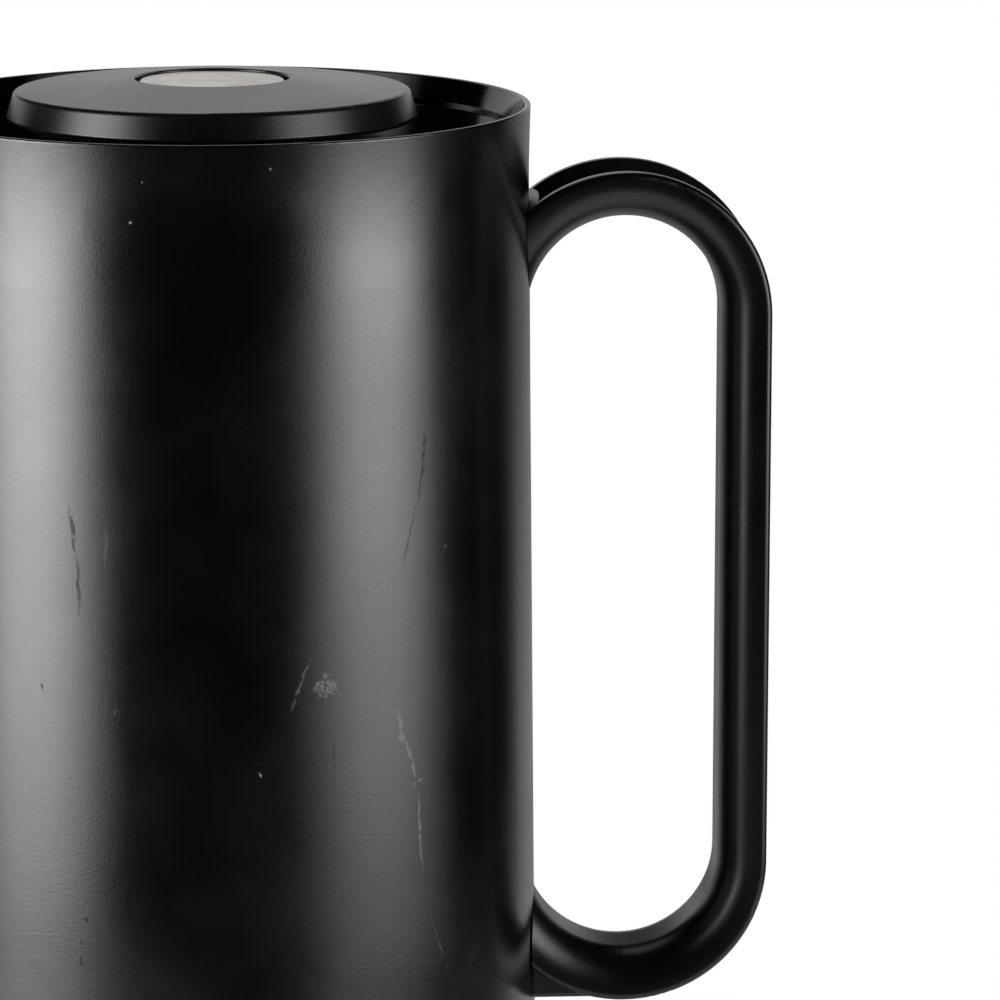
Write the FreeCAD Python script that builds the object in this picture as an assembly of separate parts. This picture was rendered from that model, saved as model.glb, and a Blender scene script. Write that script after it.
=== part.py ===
import FreeCAD, Part
import math
import os

V = FreeCAD.Vector
UP = V(0, 0, 1)
ORIGIN = V(0, 0, 0)

# A one litre vacuum carafe, in millimetres. The origin is on the table under the
# axis of the body. +Z is up, +X points to the handle and -X to the pouring lip.

# Clearances
fit_gap = 0.25          # between pieces that are put together by hand
seam_gap = 0.05         # between pieces that stay joined
running_gap = 0.06      # between the stem and its guides
soft_gap = 0.3          # between rubber and the glass that it carries
overrun = 2.0           # how far every cutting shape passes its cut

# Outer shell
body_height = 300.0     # table to rim
rim_radius = 53.0
foot_radius = 55.4      # outside of the shell at the table
shell_wall = 2.4
lip_edge = 0.9          # wall at the thin edge of the rim
lip_round = 0.35
rim_flare = 0.35        # how far the rim turns outwards
flare_drop = 10.0       # rim to the narrowest part under it
foot_stand = 1.6        # table to the lower edge of the shell
spout_drop = 24.0       # rim to the start of the pouring lip
spout_reach = 9.0       # tip of the lip beyond the rim
spout_tip_radius = 8.0
ledge_margin = 2.0      # start of the lip to the foot of the funnel, which stands on the collar
funnel_foot = 10.0      # outside of the shell to the foot of the funnel under the rim
funnel_wall = 2.4
funnel_drop = 5.0       # rim to the upper edge of the funnel
collar_round = 0.85

# Pouring collar under the rim
collar_fall = 6.0       # ledge to the flat land round the neck
collar_plate = 3.0
collar_skirt = 12.0
neck_bore_radius = 21.2
neck_length = 15.0
land_width = 6.0
neck_hub_wall = 10.2
gasket_lip = 5.0
gasket_lip_wall = 1.6
gasket_thickness = 2.5
gasket_guard = 2.0

# Glass vacuum flask
flask_clearance = 4.1   # narrowest part of the shell to the flask
glass_wall = 1.6
vacuum_gap = 3.6
mouth_gap = 1.0
mouth_wall = 2.5        # height of the fused glass at the mouth
mouth_play = 0.8        # neck bore to the glass inside the mouth
flask_neck = 20.0       # mouth to the end of the straight neck
shoulder_radius = 24.0
inner_shoulder_radius = 20.0
neck_bend_radius = 8.0
inner_neck_bend_radius = 10.0
crown_radius = 70.0
knuckle_radius = 20.0
seal_tip_length = 7.0
seal_tip_radius = 3.0
spacer_count = 3
spacer_radius = 4.5
spacer_rise = 18.0      # above the bend of the bottom

# Base
base_plate = 4.0
pad_recess = 0.8
pad_margin = 7.2        # heads of the base screws to the pad
pad_edge = 0.6
cushion_height = 14.0
cushion_radius = 24.0
cushion_bore = 8.5
cushion_ring_wall = 2.0
cushion_ring_height = 4.0
base_boss_count = 3
base_boss_turn = 60      # degrees from the handle to the first boss
base_boss_inset = 6.0
base_boss_radius = 3.8
base_boss_height = 13.0
base_screw_length = 12.0

# Handle
handle_reach = 93.6     # axis to the outside of the handle
handle_drop = 10.9      # rim to the top of the handle
handle_span = 143.9
handle_thickness = 8.0
handle_width = 21.0
grip_radius = 16.5      # inside of both bends
handle_root = 16.1      # most from the body to the middle of a bend that meets it
grip_round = 6.8
back_round = 1.0
channel_depth = 4.0
channel_land = 1.6      # rounded edge to the channel on the back
channel_end = 1.6       # body to the end of the channel
web_width = 18.0
web_inset = 0.3
web_seat = 3.0          # how far the web starts behind the hand's side of the loop
web_round = 0.8
tongue_width = 10.0
tongue_height = 6.0
tongue_depth = 1.2
tongue_root = 1.4       # how far the tongue starts inside the handle
backing_pad = 1.3
backing_plate = 1.0
backing_width = 18.0
backing_height = 9.0
backing_margin = 1.5
handle_screw_spread = 9.0
handle_screw_rise = 5.6
handle_screw_length = 14.0

# Lid disc and stopper
lid_radius = 34.6
lid_sink = 2.5          # lower edge of the lid below the rim
lid_edge_rise = 2.4     # edge of the top face above the rim
lid_crest_rise = 4.4    # top face at the button, above the rim
lid_lean = 1.5          # how far the side of the lid leans in, towards its top
lid_edge_round = 1.0
lid_foot_round = 0.7
lid_wall = 1.8
lid_skirt = 2.5
hole_round = 0.35
button_hole_radius = 12.9
sleeve_wall = 1.8
lid_plate = 1.5
lid_boss_radius = 3.2
lid_screw_count = 3
lid_screw_turn = 60
lid_screw_circle = 25.5
lid_skin = 1.0          # plastic left above the ends of the lid screws
ring_seal_radius = 0.45
barrel_play = 1.6       # neck bore to the barrel
barrel_wall = 2.2
barrel_reach = 10.0     # end of the barrel below the neck
flange_overlap = 3.6
flange_thickness = 3.0
window_count = 4
window_width = 17.0
window_margin = 1.5
deck_thickness = 2.0
housing_wall = 2.0
spigot_radius = 4.2     # end of the bushing that sits in the deck
stem_hub_radius = 5.0
stem_hub_length = 8.0
wiper_radius = 4.0
wiper_height = 2.0
seal_height = 6.0
seal_margin = 2.0
seal_groove = 0.8
seal_play = 0.3
seal_neck = 0.9
guide_height = 5.0
guide_rise = 4.0
guide_ring = 1.4
guide_arm = 2.6
guide_arm_count = 3
guide_arm_turn = 60

# Button, stem and valve
button_gap = 0.7
button_recess = 0.4
button_sheet = 0.6
button_rim = 2.6
button_edge = 0.5
button_travel = 5.0
plunger_play = 0.3
plunger_roof = 4.0
plunger_wall = 2.4
deck_clear = 1.0
stem_radius = 2.5
thread_radius = 2.0
nut_flats = 7.0
nut_height = 2.2
stem_end = 1.2
valve_seal_height = 2.0
valve_seal_width = 3.6
valve_groove = 0.6
valve_plate_height = 3.5
valve_edge = 0.8
spring_length = 11.4
spring_radius = 7.0
spring_wire_radius = 0.45
spring_turns = 5
quarter_turns = 4

# Screws
screw_radius = 1.5
screw_head_radius = 2.8
screw_head_height = 2.0
screw_slot_width = 0.8
screw_slot_depth = 1.0
head_crown_share = 0.35

# Levels worked out from the sizes above
rim_z = body_height
spout_z = rim_z - spout_drop
ledge_z = spout_z - ledge_margin
land_z = ledge_z - collar_fall
hub_z = land_z - neck_length
mouth_z = hub_z - gasket_thickness
base_top_z = foot_stand + base_plate
flask_z = base_top_z + cushion_height
pad_thickness = foot_stand + pad_recess
lid_bottom_z = rim_z - lid_sink
lid_edge_z = rim_z + lid_edge_rise
lid_crest_z = rim_z + lid_crest_rise
plate_top_z = lid_bottom_z + lid_plate
button_top_z = lid_crest_z - button_recess
roof_top_z = button_top_z - button_sheet
roof_under_z = roof_top_z - plunger_roof
deck_top_z = roof_under_z - spring_length
deck_z = deck_top_z - deck_thickness
flange_top_z = land_z + flange_thickness
barrel_end_z = hub_z - barrel_reach
valve_top_z = barrel_end_z - valve_seal_height + valve_groove
valve_z = valve_top_z - valve_plate_height
handle_top_z = rim_z - handle_drop
bend_centre_x = handle_reach - handle_thickness - grip_radius
bend_outer_radius = grip_radius + handle_thickness
upper_bend_z = handle_top_z - bend_outer_radius
lower_bend_z = handle_top_z - handle_span + bend_outer_radius
handle_foot_z = handle_top_z - handle_span
handle_screw_z = handle_foot_z + handle_screw_rise


def shell_radius(z):
    """Outside of the slightly tapered body at a height."""
    return foot_radius + (rim_radius - foot_radius) * z / body_height


# Radii worked out from the sizes above
lip_tip_x = rim_radius + spout_reach - spout_tip_radius
mouth_bore = neck_bore_radius + mouth_play
inner_neck_radius = mouth_bore + glass_wall
outer_neck_radius = inner_neck_radius + mouth_gap + glass_wall
flask_radius = min(foot_radius, rim_radius) - shell_wall - flask_clearance
inner_flask_radius = flask_radius - glass_wall - vacuum_gap
base_boss_circle = shell_radius(base_top_z) - shell_wall - base_boss_inset
pad_radius = base_boss_circle - screw_head_radius - pad_margin
root_centre_x = min(bend_centre_x, shell_radius(upper_bend_z) + handle_root)
barrel_radius = neck_bore_radius - barrel_play
barrel_bore = barrel_radius - barrel_wall
skirt_bore = lid_radius - lid_skirt
button_radius = button_hole_radius - button_gap
plunger_radius = button_hole_radius - plunger_play


def body_frustum(z_low, z_high, inset):
    """The tapered body between two heights, made smaller all round by an inset."""
    low = shell_radius(z_low) - inset
    high = shell_radius(z_high) - inset
    return Part.makeCone(low, high, z_high - z_low, V(0, 0, z_low))


def tube(outer, inner, z_low, z_high):
    """A plain ring about the axis."""
    ring = Part.makeCylinder(outer, z_high - z_low, V(0, 0, z_low))
    bore = Part.makeCylinder(inner, z_high - z_low + 2 * overrun, V(0, 0, z_low - overrun))
    return ring.cut(bore)


def rounded_edges(corners):
    """Join (r, z, round) corners by lines and tangent arcs into a closed outline."""
    points = [V(r, 0, z) for r, z, _ in corners]
    entries, middles, exits = [], [], []
    for i, (_, _, radius) in enumerate(corners):
        here = points[i]
        back = (points[i - 1] - here).normalize()
        ahead = (points[(i + 1) % len(points)] - here).normalize()
        half = back.getAngle(ahead) / 2
        reach = radius / math.tan(half)
        inward = (back + ahead).normalize() if radius else V()
        entries.append(here + back * reach)
        exits.append(here + ahead * reach)
        middles.append(here + inward * (radius / math.sin(half) - radius))
    edges = []
    for i, (_, _, radius) in enumerate(corners):
        if radius:
            edges.append(Part.Arc(entries[i], middles[i], exits[i]).toShape())
        following = entries[(i + 1) % len(corners)]
        if exits[i].distanceToPoint(following) > Part.Precision.confusion():
            edges.append(Part.LineSegment(exits[i], following).toShape())
    return edges


def turned(corners):
    """Turn a closed outline of (r, z, round) corners about the axis."""
    face = Part.Face(Part.Wire(Part.__sortEdges__(rounded_edges(corners))))
    return face.revolve(ORIGIN, UP, 360)


def section_arc(centre, radius, start, end):
    """An arc in the half section, between two angles in radians."""
    angles = (start, (start + end) / 2, end)
    return Part.Arc(*[centre + V(math.cos(a), 0, math.sin(a)) * radius for a in angles]).toShape()


def section_line(start, end):
    """A straight edge in the half section between two (r, z) points."""
    return Part.LineSegment(V(start[0], 0, start[1]), V(end[0], 0, end[1])).toShape()


def around(count, start=0):
    """Evenly spaced angles in degrees round the axis."""
    return [start + 360 * i / count for i in range(count)]


def spun(shape, angle):
    """A copy of a shape turned about the axis."""
    copy = shape.copy()
    copy.rotate(ORIGIN, UP, angle)
    return copy


def save(name, *solids):
    """Write one node, as one solid or as a group of separate solids."""
    shape = solids[0] if len(solids) == 1 else Part.makeCompound(solids)
    shape.exportStep(os.path.join("parts", name + ".step"))


def pan_screw(length):
    """A cross-slotted screw along +Z, with the underside of its head at zero."""
    crown = screw_head_height * head_crown_share
    head = turned([
        (0, 0, 0),
        (0, -screw_head_height, 0),
        (screw_head_radius, -screw_head_height, crown),
        (screw_head_radius, 0, 0),
    ])
    screw = head.fuse(Part.makeCylinder(screw_radius, length)).removeSplitter()
    slot_length = 2 * (screw_head_radius - crown)
    slot_depth = screw_slot_depth + overrun
    corner = V(-slot_length / 2, -screw_slot_width / 2, screw_slot_depth - screw_head_height - slot_depth)
    slot = Part.makeBox(slot_length, screw_slot_width, slot_depth, corner)
    return screw.cut(slot).cut(spun(slot, 90))


def hex_nut(z):
    """A nut on the axis, resting on a height."""
    radius = nut_flats / math.sqrt(3)
    points = [V(radius * math.cos(math.radians(a)), radius * math.sin(math.radians(a)), z) for a in around(6)]
    prism = Part.Face(Part.makePolygon(points + points[:1])).extrude(UP * nut_height)
    return prism.cut(Part.makeCylinder(thread_radius + seam_gap, nut_height + 2 * overrun, V(0, 0, z - overrun)))


def lip_points(radius, tip_radius, tip_x, z):
    """Where the round rim runs straight into the rounded tip of the pouring lip."""
    lean = math.acos((radius - tip_radius) / tip_x)
    rim_point = V(-radius * math.cos(lean), radius * math.sin(lean), z)
    tip_point = V(-tip_x - tip_radius * math.cos(lean), tip_radius * math.sin(lean), z)
    return rim_point, tip_point, V(-tip_x - tip_radius, 0, z)


def mirrored(point):
    """The same point on the other side of the handle's plane."""
    return V(point.x, -point.y, point.z)


def lip_wire(radius, tip_radius, tip_x, z):
    """The rim seen from above: a circle drawn out into a rounded tip at -X."""
    rim_point, tip_point, tip = lip_points(radius, tip_radius, tip_x, z)
    front = V(radius, 0, z)
    side = V(0, radius, z)
    return Part.Wire([
        Part.Arc(mirrored(rim_point), mirrored(side), front).toShape(),
        Part.Arc(front, side, rim_point).toShape(),
        Part.LineSegment(rim_point, tip_point).toShape(),
        Part.Arc(tip_point, tip, mirrored(tip_point)).toShape(),
        Part.LineSegment(mirrored(tip_point), mirrored(rim_point)).toShape(),
    ])


def root_wire(radius, rim_lip_radius, tip_radius, tip_x, z):
    """A plain circle, split where the lip above it changes from arc to line."""
    rim_point, tip_point, _ = lip_points(rim_lip_radius, tip_radius, tip_x, z)
    rim_angle = math.atan2(rim_point.y, rim_point.x)
    tip_angle = math.atan2(tip_point.y, tip_point.x)

    def at(angle):
        return V(radius * math.cos(angle), radius * math.sin(angle), z)

    def arc(start, end):
        return Part.Arc(at(start), at((start + end) / 2), at(end)).toShape()

    return Part.Wire([
        arc(-rim_angle, 0),
        arc(0, rim_angle),
        arc(rim_angle, tip_angle),
        arc(tip_angle, 2 * math.pi - tip_angle),
        arc(-tip_angle, -rim_angle),
    ])


def lip_ends(low_inset, top_inset):
    """The two ends of the body between the start of the pouring lip and the rim, inset from the outside."""
    radius = rim_radius + rim_flare - top_inset
    tip_radius = spout_tip_radius + rim_flare - top_inset
    low = root_wire(shell_radius(spout_z) - low_inset, radius, tip_radius, lip_tip_x, spout_z)
    return [low, lip_wire(radius, tip_radius, lip_tip_x, rim_z)]


def lip_solid(low_inset, top_inset):
    """The room between the start of the pouring lip and the rim, with straight sides."""
    return Part.makeLoft(lip_ends(low_inset, top_inset), True, True)


def flared_top():
    """The outside between the start of the pouring lip and the rim, which turns out a little at the top."""
    low, high = lip_ends(0, 0)
    narrow_z = rim_z - flare_drop
    share = (narrow_z - spout_z) / spout_drop
    radius = shell_radius(narrow_z)
    tip_radius = radius + (spout_tip_radius - radius) * share
    narrow = lip_wire(radius, tip_radius, lip_tip_x * share, narrow_z)
    return Part.makeLoft([low, narrow, high], True, False)


def funnel_room():
    """The room inside the funnel and the rim."""
    return lip_solid(funnel_foot, lip_edge)


def rim_band():
    """The lofted top of the shell, with a thin edge that leans like the funnel below it."""
    band = flared_top().cut(funnel_room())
    near_rim = rim_z - lip_round / 2
    edges = [e for e in band.Edges if e.BoundBox.ZMin > near_rim]
    return band.makeFillet(lip_round, edges).cut(lip_solid(shell_wall, shell_wall))


def shell_tube():
    """The tapered wall under the pouring lip."""
    outside = body_frustum(foot_stand, spout_z, 0)
    return outside.cut(body_frustum(foot_stand - overrun, spout_z + overrun, shell_wall))


def rim_funnel():
    """The funnel under the rim: it stands on the collar and leads the coffee to the lip."""
    foot = funnel_foot - funnel_wall
    back = shell_wall + seam_gap
    top = Part.makeCylinder(2 * rim_radius, funnel_drop + overrun, V(0, 0, rim_z - funnel_drop))
    wall = lip_solid(foot, foot - funnel_foot + lip_edge).common(lip_solid(back, back)).cut(funnel_room())
    ring = body_frustum(ledge_z, spout_z, foot)
    ring = ring.cut(body_frustum(ledge_z - overrun, spout_z + overrun, funnel_foot))
    return wall.cut(top).fuse(ring).removeSplitter()


def base_boss(angle):
    """A screw boss with a web that ties it to the inside of the shell."""
    circle = base_boss_circle
    z_low = base_top_z
    boss = Part.makeCylinder(base_boss_radius, base_boss_height, V(circle, 0, z_low))
    web_length = base_boss_inset + shell_wall / 2
    web = Part.makeBox(web_length, base_boss_radius, base_boss_height, V(circle, -base_boss_radius / 2, z_low))
    return spun(boss.fuse(web), angle)


def along_x(shape, x, y, z):
    """Lay a shape that was made along +Z so that it points along +X."""
    copy = shape.copy()
    copy.rotate(ORIGIN, V(0, 1, 0), 90)
    copy.translate(V(x, y, z))
    return copy


def backing_face_x():
    """Flat face inside the shell that carries the handle's backing plate."""
    return shell_radius(handle_screw_z) - shell_wall - backing_pad


def handle_screw_places():
    """Sideways places of the two handle screws."""
    return (-handle_screw_spread / 2, handle_screw_spread / 2)


def backing_boss():
    """The flat pad inside the shell behind the foot of the handle."""
    width = backing_width + 2 * backing_margin
    height = backing_height + 2 * backing_margin
    depth = backing_pad + shell_wall
    corner = V(backing_face_x(), -width / 2, handle_screw_z - height / 2)
    inside = body_frustum(foot_stand, spout_z, shell_wall / 2)
    return Part.makeBox(depth, width, height, corner).common(inside)


def tongue(gap):
    """The tongue of the handle's upper end, or with a gap the slot that takes it."""
    z_mid = handle_top_z - bend_outer_radius + grip_radius
    width = tongue_width + 2 * gap
    height = tongue_height + 2 * gap
    x_low = shell_radius(z_mid) - tongue_depth - gap
    length = tongue_depth + gap + tongue_root
    return Part.makeBox(length, width, height, V(x_low, -width / 2, z_mid + gap - height))


def outer_shell():
    """The black shell: tapered wall, rim, pouring lip, bosses and screw holes."""
    shell = shell_tube().fuse(rim_band())
    for angle in around(base_boss_count, base_boss_turn):
        shell = shell.fuse(base_boss(angle))
    shell = shell.fuse(backing_boss()).removeSplitter()
    hole = Part.makeCylinder(screw_radius + seam_gap, base_screw_length + overrun)
    hole.translate(V(base_boss_circle, 0, base_top_z - overrun))
    for angle in around(base_boss_count, base_boss_turn):
        shell = shell.cut(spun(hole, angle))
    for y in handle_screw_places():
        hole = Part.makeCylinder(screw_radius + seam_gap, handle_screw_length)
        shell = shell.cut(along_x(hole, backing_face_x() - overrun, y, handle_screw_z))
    return shell.cut(tongue(fit_gap))


def pour_collar():
    """The trough round the neck: it carries the funnel and holds the flask's mouth."""
    rim = shell_radius(ledge_z - collar_skirt) - shell_wall - fit_gap
    rim = min(rim, shell_radius(ledge_z) - shell_wall - fit_gap)
    hub = neck_bore_radius + neck_hub_wall
    guard_z = mouth_z - gasket_lip
    land = neck_bore_radius + land_width
    skirt = rim - collar_plate
    seat = shell_radius(ledge_z) - funnel_foot - fit_gap
    return turned([
        (neck_bore_radius, land_z, collar_round),
        (land, land_z, collar_plate),
        (seat, ledge_z, 0),
        (rim, ledge_z, 0),
        (rim, ledge_z - collar_skirt, collar_round),
        (skirt, ledge_z - collar_skirt, collar_round),
        (skirt, ledge_z - collar_plate, 0),
        (hub, land_z - collar_plate, 0),
        (hub, guard_z, collar_round),
        (hub - gasket_guard, guard_z, collar_round),
        (hub - gasket_guard, hub_z, 0),
        (neck_bore_radius, hub_z, 0),
    ])


def neck_gasket():
    """The rubber ring between the collar and the glass mouth."""
    inside = mouth_bore
    outside = outer_neck_radius + soft_gap + gasket_lip_wall
    lip_z = mouth_z - gasket_lip
    return turned([
        (inside, hub_z, 0),
        (outside, hub_z, 0),
        (outside, lip_z, 0),
        (outside - gasket_lip_wall, lip_z, 0),
        (outside - gasket_lip_wall, mouth_z, 0),
        (inside, mouth_z, 0),
    ])


def flask_wall(radius, neck, shoulder, bend, bottom_z, crown, knuckle, top_z, neck_end_z):
    """One glass wall of the flask: domed bottom, cylinder, shoulder and neck."""
    crown_centre = V(0, 0, bottom_z + crown)
    knuckle_x = radius - knuckle
    knuckle_fall = math.sqrt((crown - knuckle) ** 2 - knuckle_x ** 2)
    knuckle_centre = crown_centre + V(knuckle_x, 0, -knuckle_fall)
    shoulder_x = radius - shoulder
    bend_centre = V(neck + bend, 0, neck_end_z)
    lean_x = bend_centre.x - shoulder_x
    shoulder_rise = math.sqrt((shoulder + bend) ** 2 - lean_x ** 2)
    shoulder_centre = V(shoulder_x, 0, neck_end_z - shoulder_rise)
    crown_angle = math.atan2(-knuckle_fall, knuckle_x)
    shoulder_angle = math.atan2(shoulder_rise, lean_x)
    down = -math.pi / 2

    def skin(inset):
        """Edges of the surface that lies an inset inside the outer one."""
        r_neck = neck - inset
        r_body = radius - inset
        return [
            section_arc(crown_centre, crown - inset, down, crown_angle),
            section_arc(knuckle_centre, knuckle - inset, crown_angle, 0),
            section_line((r_body, knuckle_centre.z), (r_body, shoulder_centre.z)),
            section_arc(shoulder_centre, shoulder - inset, 0, shoulder_angle),
            section_arc(bend_centre, bend + inset, shoulder_angle + math.pi, math.pi),
            section_line((r_neck, neck_end_z), (r_neck, top_z)),
        ]

    ends = [
        section_line((neck, top_z), (neck - glass_wall, top_z)),
        section_line((0, bottom_z), (0, bottom_z + glass_wall)),
    ]
    outline = Part.Wire(Part.__sortEdges__(skin(0) + skin(glass_wall) + ends))
    return Part.Face(outline).revolve(ORIGIN, UP, 360)


def flask_outer_wall():
    """The silvered outer glass, with the tip where it was pumped out and sealed."""
    wall = flask_wall(
        flask_radius, outer_neck_radius, shoulder_radius, neck_bend_radius,
        flask_z, crown_radius, knuckle_radius, mouth_z - mouth_wall, mouth_z - flask_neck,
    )
    tip_end = flask_z - seal_tip_length + seal_tip_radius
    stem = Part.makeCylinder(seal_tip_radius, flask_z + glass_wall / 2 - tip_end, V(0, 0, tip_end))
    ball = Part.makeSphere(seal_tip_radius, V(0, 0, tip_end))
    return wall.fuse(stem.fuse(ball)).removeSplitter()


def inner_bottom_z():
    """Lowest point of the inner glass."""
    return flask_z + glass_wall + vacuum_gap


def inner_knuckle_z():
    """Where the rounded bottom of the inner glass ends and its straight wall starts."""
    inset = glass_wall + vacuum_gap
    across_bend = inner_flask_radius - knuckle_radius + inset
    fall = math.sqrt((crown_radius - knuckle_radius) ** 2 - across_bend ** 2)
    return inner_bottom_z() + crown_radius - inset - fall


def inner_shoulder_z():
    """Where the straight wall of the inner glass ends and its shoulder starts."""
    across_bend = inner_neck_radius + inner_neck_bend_radius - inner_flask_radius + inner_shoulder_radius
    reach = inner_shoulder_radius + inner_neck_bend_radius
    return mouth_z - flask_neck - math.sqrt(reach ** 2 - across_bend ** 2)


def inner_glass():
    """The inner glass that holds the coffee, with the fused ring at the mouth."""
    inset = glass_wall + vacuum_gap
    wall = flask_wall(
        inner_flask_radius, inner_neck_radius, inner_shoulder_radius, inner_neck_bend_radius,
        inner_bottom_z(), crown_radius - inset, knuckle_radius - inset,
        mouth_z, mouth_z - flask_neck,
    )
    ring = turned([
        (mouth_bore, mouth_z, glass_wall / 2),
        (outer_neck_radius, mouth_z, glass_wall / 2),
        (outer_neck_radius, mouth_z - mouth_wall, 0),
        (mouth_bore, mouth_z - mouth_wall, 0),
    ])
    collared = wall.cut(tube(outer_neck_radius, mouth_bore - overrun, mouth_z - mouth_wall, mouth_z + overrun))
    return collared.fuse(ring).removeSplitter()


def inner_glass_between(z_low, z_high):
    """One ring of the inner glass, which is fused to the next one."""
    return inner_glass().common(Part.makeCylinder(flask_radius, z_high - z_low, V(0, 0, z_low)))


def flask_inner_bottom():
    """The domed bottom of the inner glass."""
    return inner_glass_between(flask_z, inner_knuckle_z())


def flask_inner_wall():
    """The straight wall of the inner glass."""
    return inner_glass_between(inner_knuckle_z(), inner_shoulder_z())


def flask_inner_neck():
    """The shoulder, neck and mouth of the inner glass."""
    return inner_glass_between(inner_shoulder_z(), mouth_z + overrun)


def flask_spacers():
    """Small pads that keep the two glass walls apart."""
    knuckle_x = flask_radius - knuckle_radius
    bend_z = flask_z + crown_radius - math.sqrt((crown_radius - knuckle_radius) ** 2 - knuckle_x ** 2)
    z_mid = bend_z + spacer_rise
    inner = inner_flask_radius + seam_gap
    outer = inner_flask_radius + vacuum_gap - seam_gap
    room = tube(outer, inner, z_mid - 2 * spacer_radius, z_mid + 2 * spacer_radius)
    rod = along_x(Part.makeCylinder(spacer_radius, flask_radius), 0, 0, z_mid)
    return [room.common(spun(rod, angle)) for angle in around(spacer_count, 90)]


def flask_cushion():
    """The rubber cup that carries the domed bottom of the glass."""
    centre = V(0, 0, flask_z + crown_radius)
    seat = crown_radius + soft_gap

    def seat_angle(r):
        return -math.acos(r / seat)

    start, end = seat_angle(cushion_bore), seat_angle(cushion_radius)
    top_in = centre.z + seat * math.sin(start)
    top_out = centre.z + seat * math.sin(end)
    edges = [
        section_arc(centre, seat, start, end),
        section_line((cushion_radius, top_out), (cushion_radius, base_top_z)),
        section_line((cushion_radius, base_top_z), (cushion_bore, base_top_z)),
        section_line((cushion_bore, base_top_z), (cushion_bore, top_in)),
    ]
    return Part.Face(Part.Wire(edges)).revolve(ORIGIN, UP, 360)


def base_cap():
    """The cap that closes the body and clamps the flask up against the collar."""
    rim = shell_radius(base_top_z) - shell_wall - fit_gap
    ring_in = cushion_radius + fit_gap
    ring_out = ring_in + cushion_ring_wall
    ring_z = base_top_z + cushion_ring_height
    pad_bore = pad_radius + fit_gap
    cap = turned([
        (0, foot_stand + pad_recess, 0),
        (pad_bore, foot_stand + pad_recess, 0),
        (pad_bore, foot_stand, 0),
        (rim, foot_stand, pad_edge),
        (rim, base_top_z, pad_edge),
        (ring_out, base_top_z, 0),
        (ring_out, ring_z, pad_edge),
        (ring_in, ring_z, pad_edge),
        (ring_in, base_top_z, 0),
        (0, base_top_z, 0),
    ])
    circle = base_boss_circle
    hole = Part.makeCylinder(screw_radius + fit_gap, base_plate + 2 * overrun, V(circle, 0, foot_stand - overrun))
    sink = Part.makeCylinder(screw_head_radius + fit_gap, screw_head_height + overrun)
    sink.translate(V(circle, 0, foot_stand - overrun))
    for angle in around(base_boss_count, base_boss_turn):
        cap = cap.cut(spun(hole, angle)).cut(spun(sink, angle))
    return cap


def base_screws():
    """Screws up through the cap into the bosses of the shell."""
    screw = pan_screw(base_screw_length)
    screw.translate(V(base_boss_circle, 0, foot_stand + screw_head_height))
    return [spun(screw, angle) for angle in around(base_boss_count, base_boss_turn)]


def base_pad():
    """The rubber disc that the carafe stands on."""
    return turned([(0, 0, 0), (pad_radius, 0, pad_edge), (pad_radius, pad_thickness, 0), (0, pad_thickness, 0)])


def loop_side(radius):
    """One side of the loop from end to end: a bend, the straight and a bend, with more straights if it is long."""
    slant = radius / math.sqrt(2)
    edges = []

    def straight(start, end):
        if start.distanceToPoint(end) > Part.Precision.confusion():
            edges.append(Part.LineSegment(start, end).toShape())

    def quarter(x, z, x_sign, z_sign):
        middle = V(x + x_sign * slant, 0, z + z_sign * slant)
        edges.append(Part.Arc(V(x + x_sign * radius, 0, z), middle, V(x, 0, z + z_sign * radius)).toShape())

    quarter(root_centre_x, upper_bend_z, -1, 1)
    straight(V(root_centre_x, 0, upper_bend_z + radius), V(bend_centre_x, 0, upper_bend_z + radius))
    quarter(bend_centre_x, upper_bend_z, 1, 1)
    straight(V(bend_centre_x + radius, 0, upper_bend_z), V(bend_centre_x + radius, 0, lower_bend_z))
    quarter(bend_centre_x, lower_bend_z, 1, -1)
    straight(V(bend_centre_x, 0, lower_bend_z - radius), V(root_centre_x, 0, lower_bend_z - radius))
    quarter(root_centre_x, lower_bend_z, -1, -1)
    return edges


def loop_face(outer, inner):
    """The handle's loop seen from the side, between two bend radii, open at the body."""
    ends = [
        section_line((root_centre_x - outer, z), (root_centre_x - inner, z))
        for z in (upper_bend_z, lower_bend_z)
    ]
    return Part.Face(Part.Wire(Part.__sortEdges__(loop_side(outer) + loop_side(inner) + ends)))


def across(face, width):
    """Draw a side view out to a width, evenly about the handle's plane."""
    solid = face.extrude(V(0, width, 0))
    solid.translate(V(0, -width / 2, 0))
    return solid


def on_loop(edge, radius):
    """Whether a long edge of the handle runs along the bend of this radius."""
    if abs(abs(edge.BoundBox.YMax) - handle_width / 2) > seam_gap or edge.BoundBox.YLength > seam_gap:
        return False
    point = edge.valueAt((edge.FirstParameter + edge.LastParameter) / 2)
    x = min(max(point.x, root_centre_x), bend_centre_x)
    z = min(max(point.z, lower_bend_z), upper_bend_z)
    return abs(V(x, 0, z).distanceToPoint(V(point.x, 0, point.z)) - radius) < seam_gap


def handle_strap():
    """The rounded strap of the handle, with a channel down its back."""
    strap = across(loop_face(bend_outer_radius, grip_radius), handle_width)
    strap = strap.makeFillet(grip_round, [e for e in strap.Edges if on_loop(e, grip_radius)])
    strap = strap.makeFillet(back_round, [e for e in strap.Edges if on_loop(e, bend_outer_radius)])
    channel_width = handle_width - 2 * (back_round + channel_land)
    channel = across(loop_face(bend_outer_radius + overrun, bend_outer_radius - channel_depth), channel_width)
    return strap.cut(channel.cut(body_frustum(foot_stand, rim_z, -channel_end)))


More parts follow.
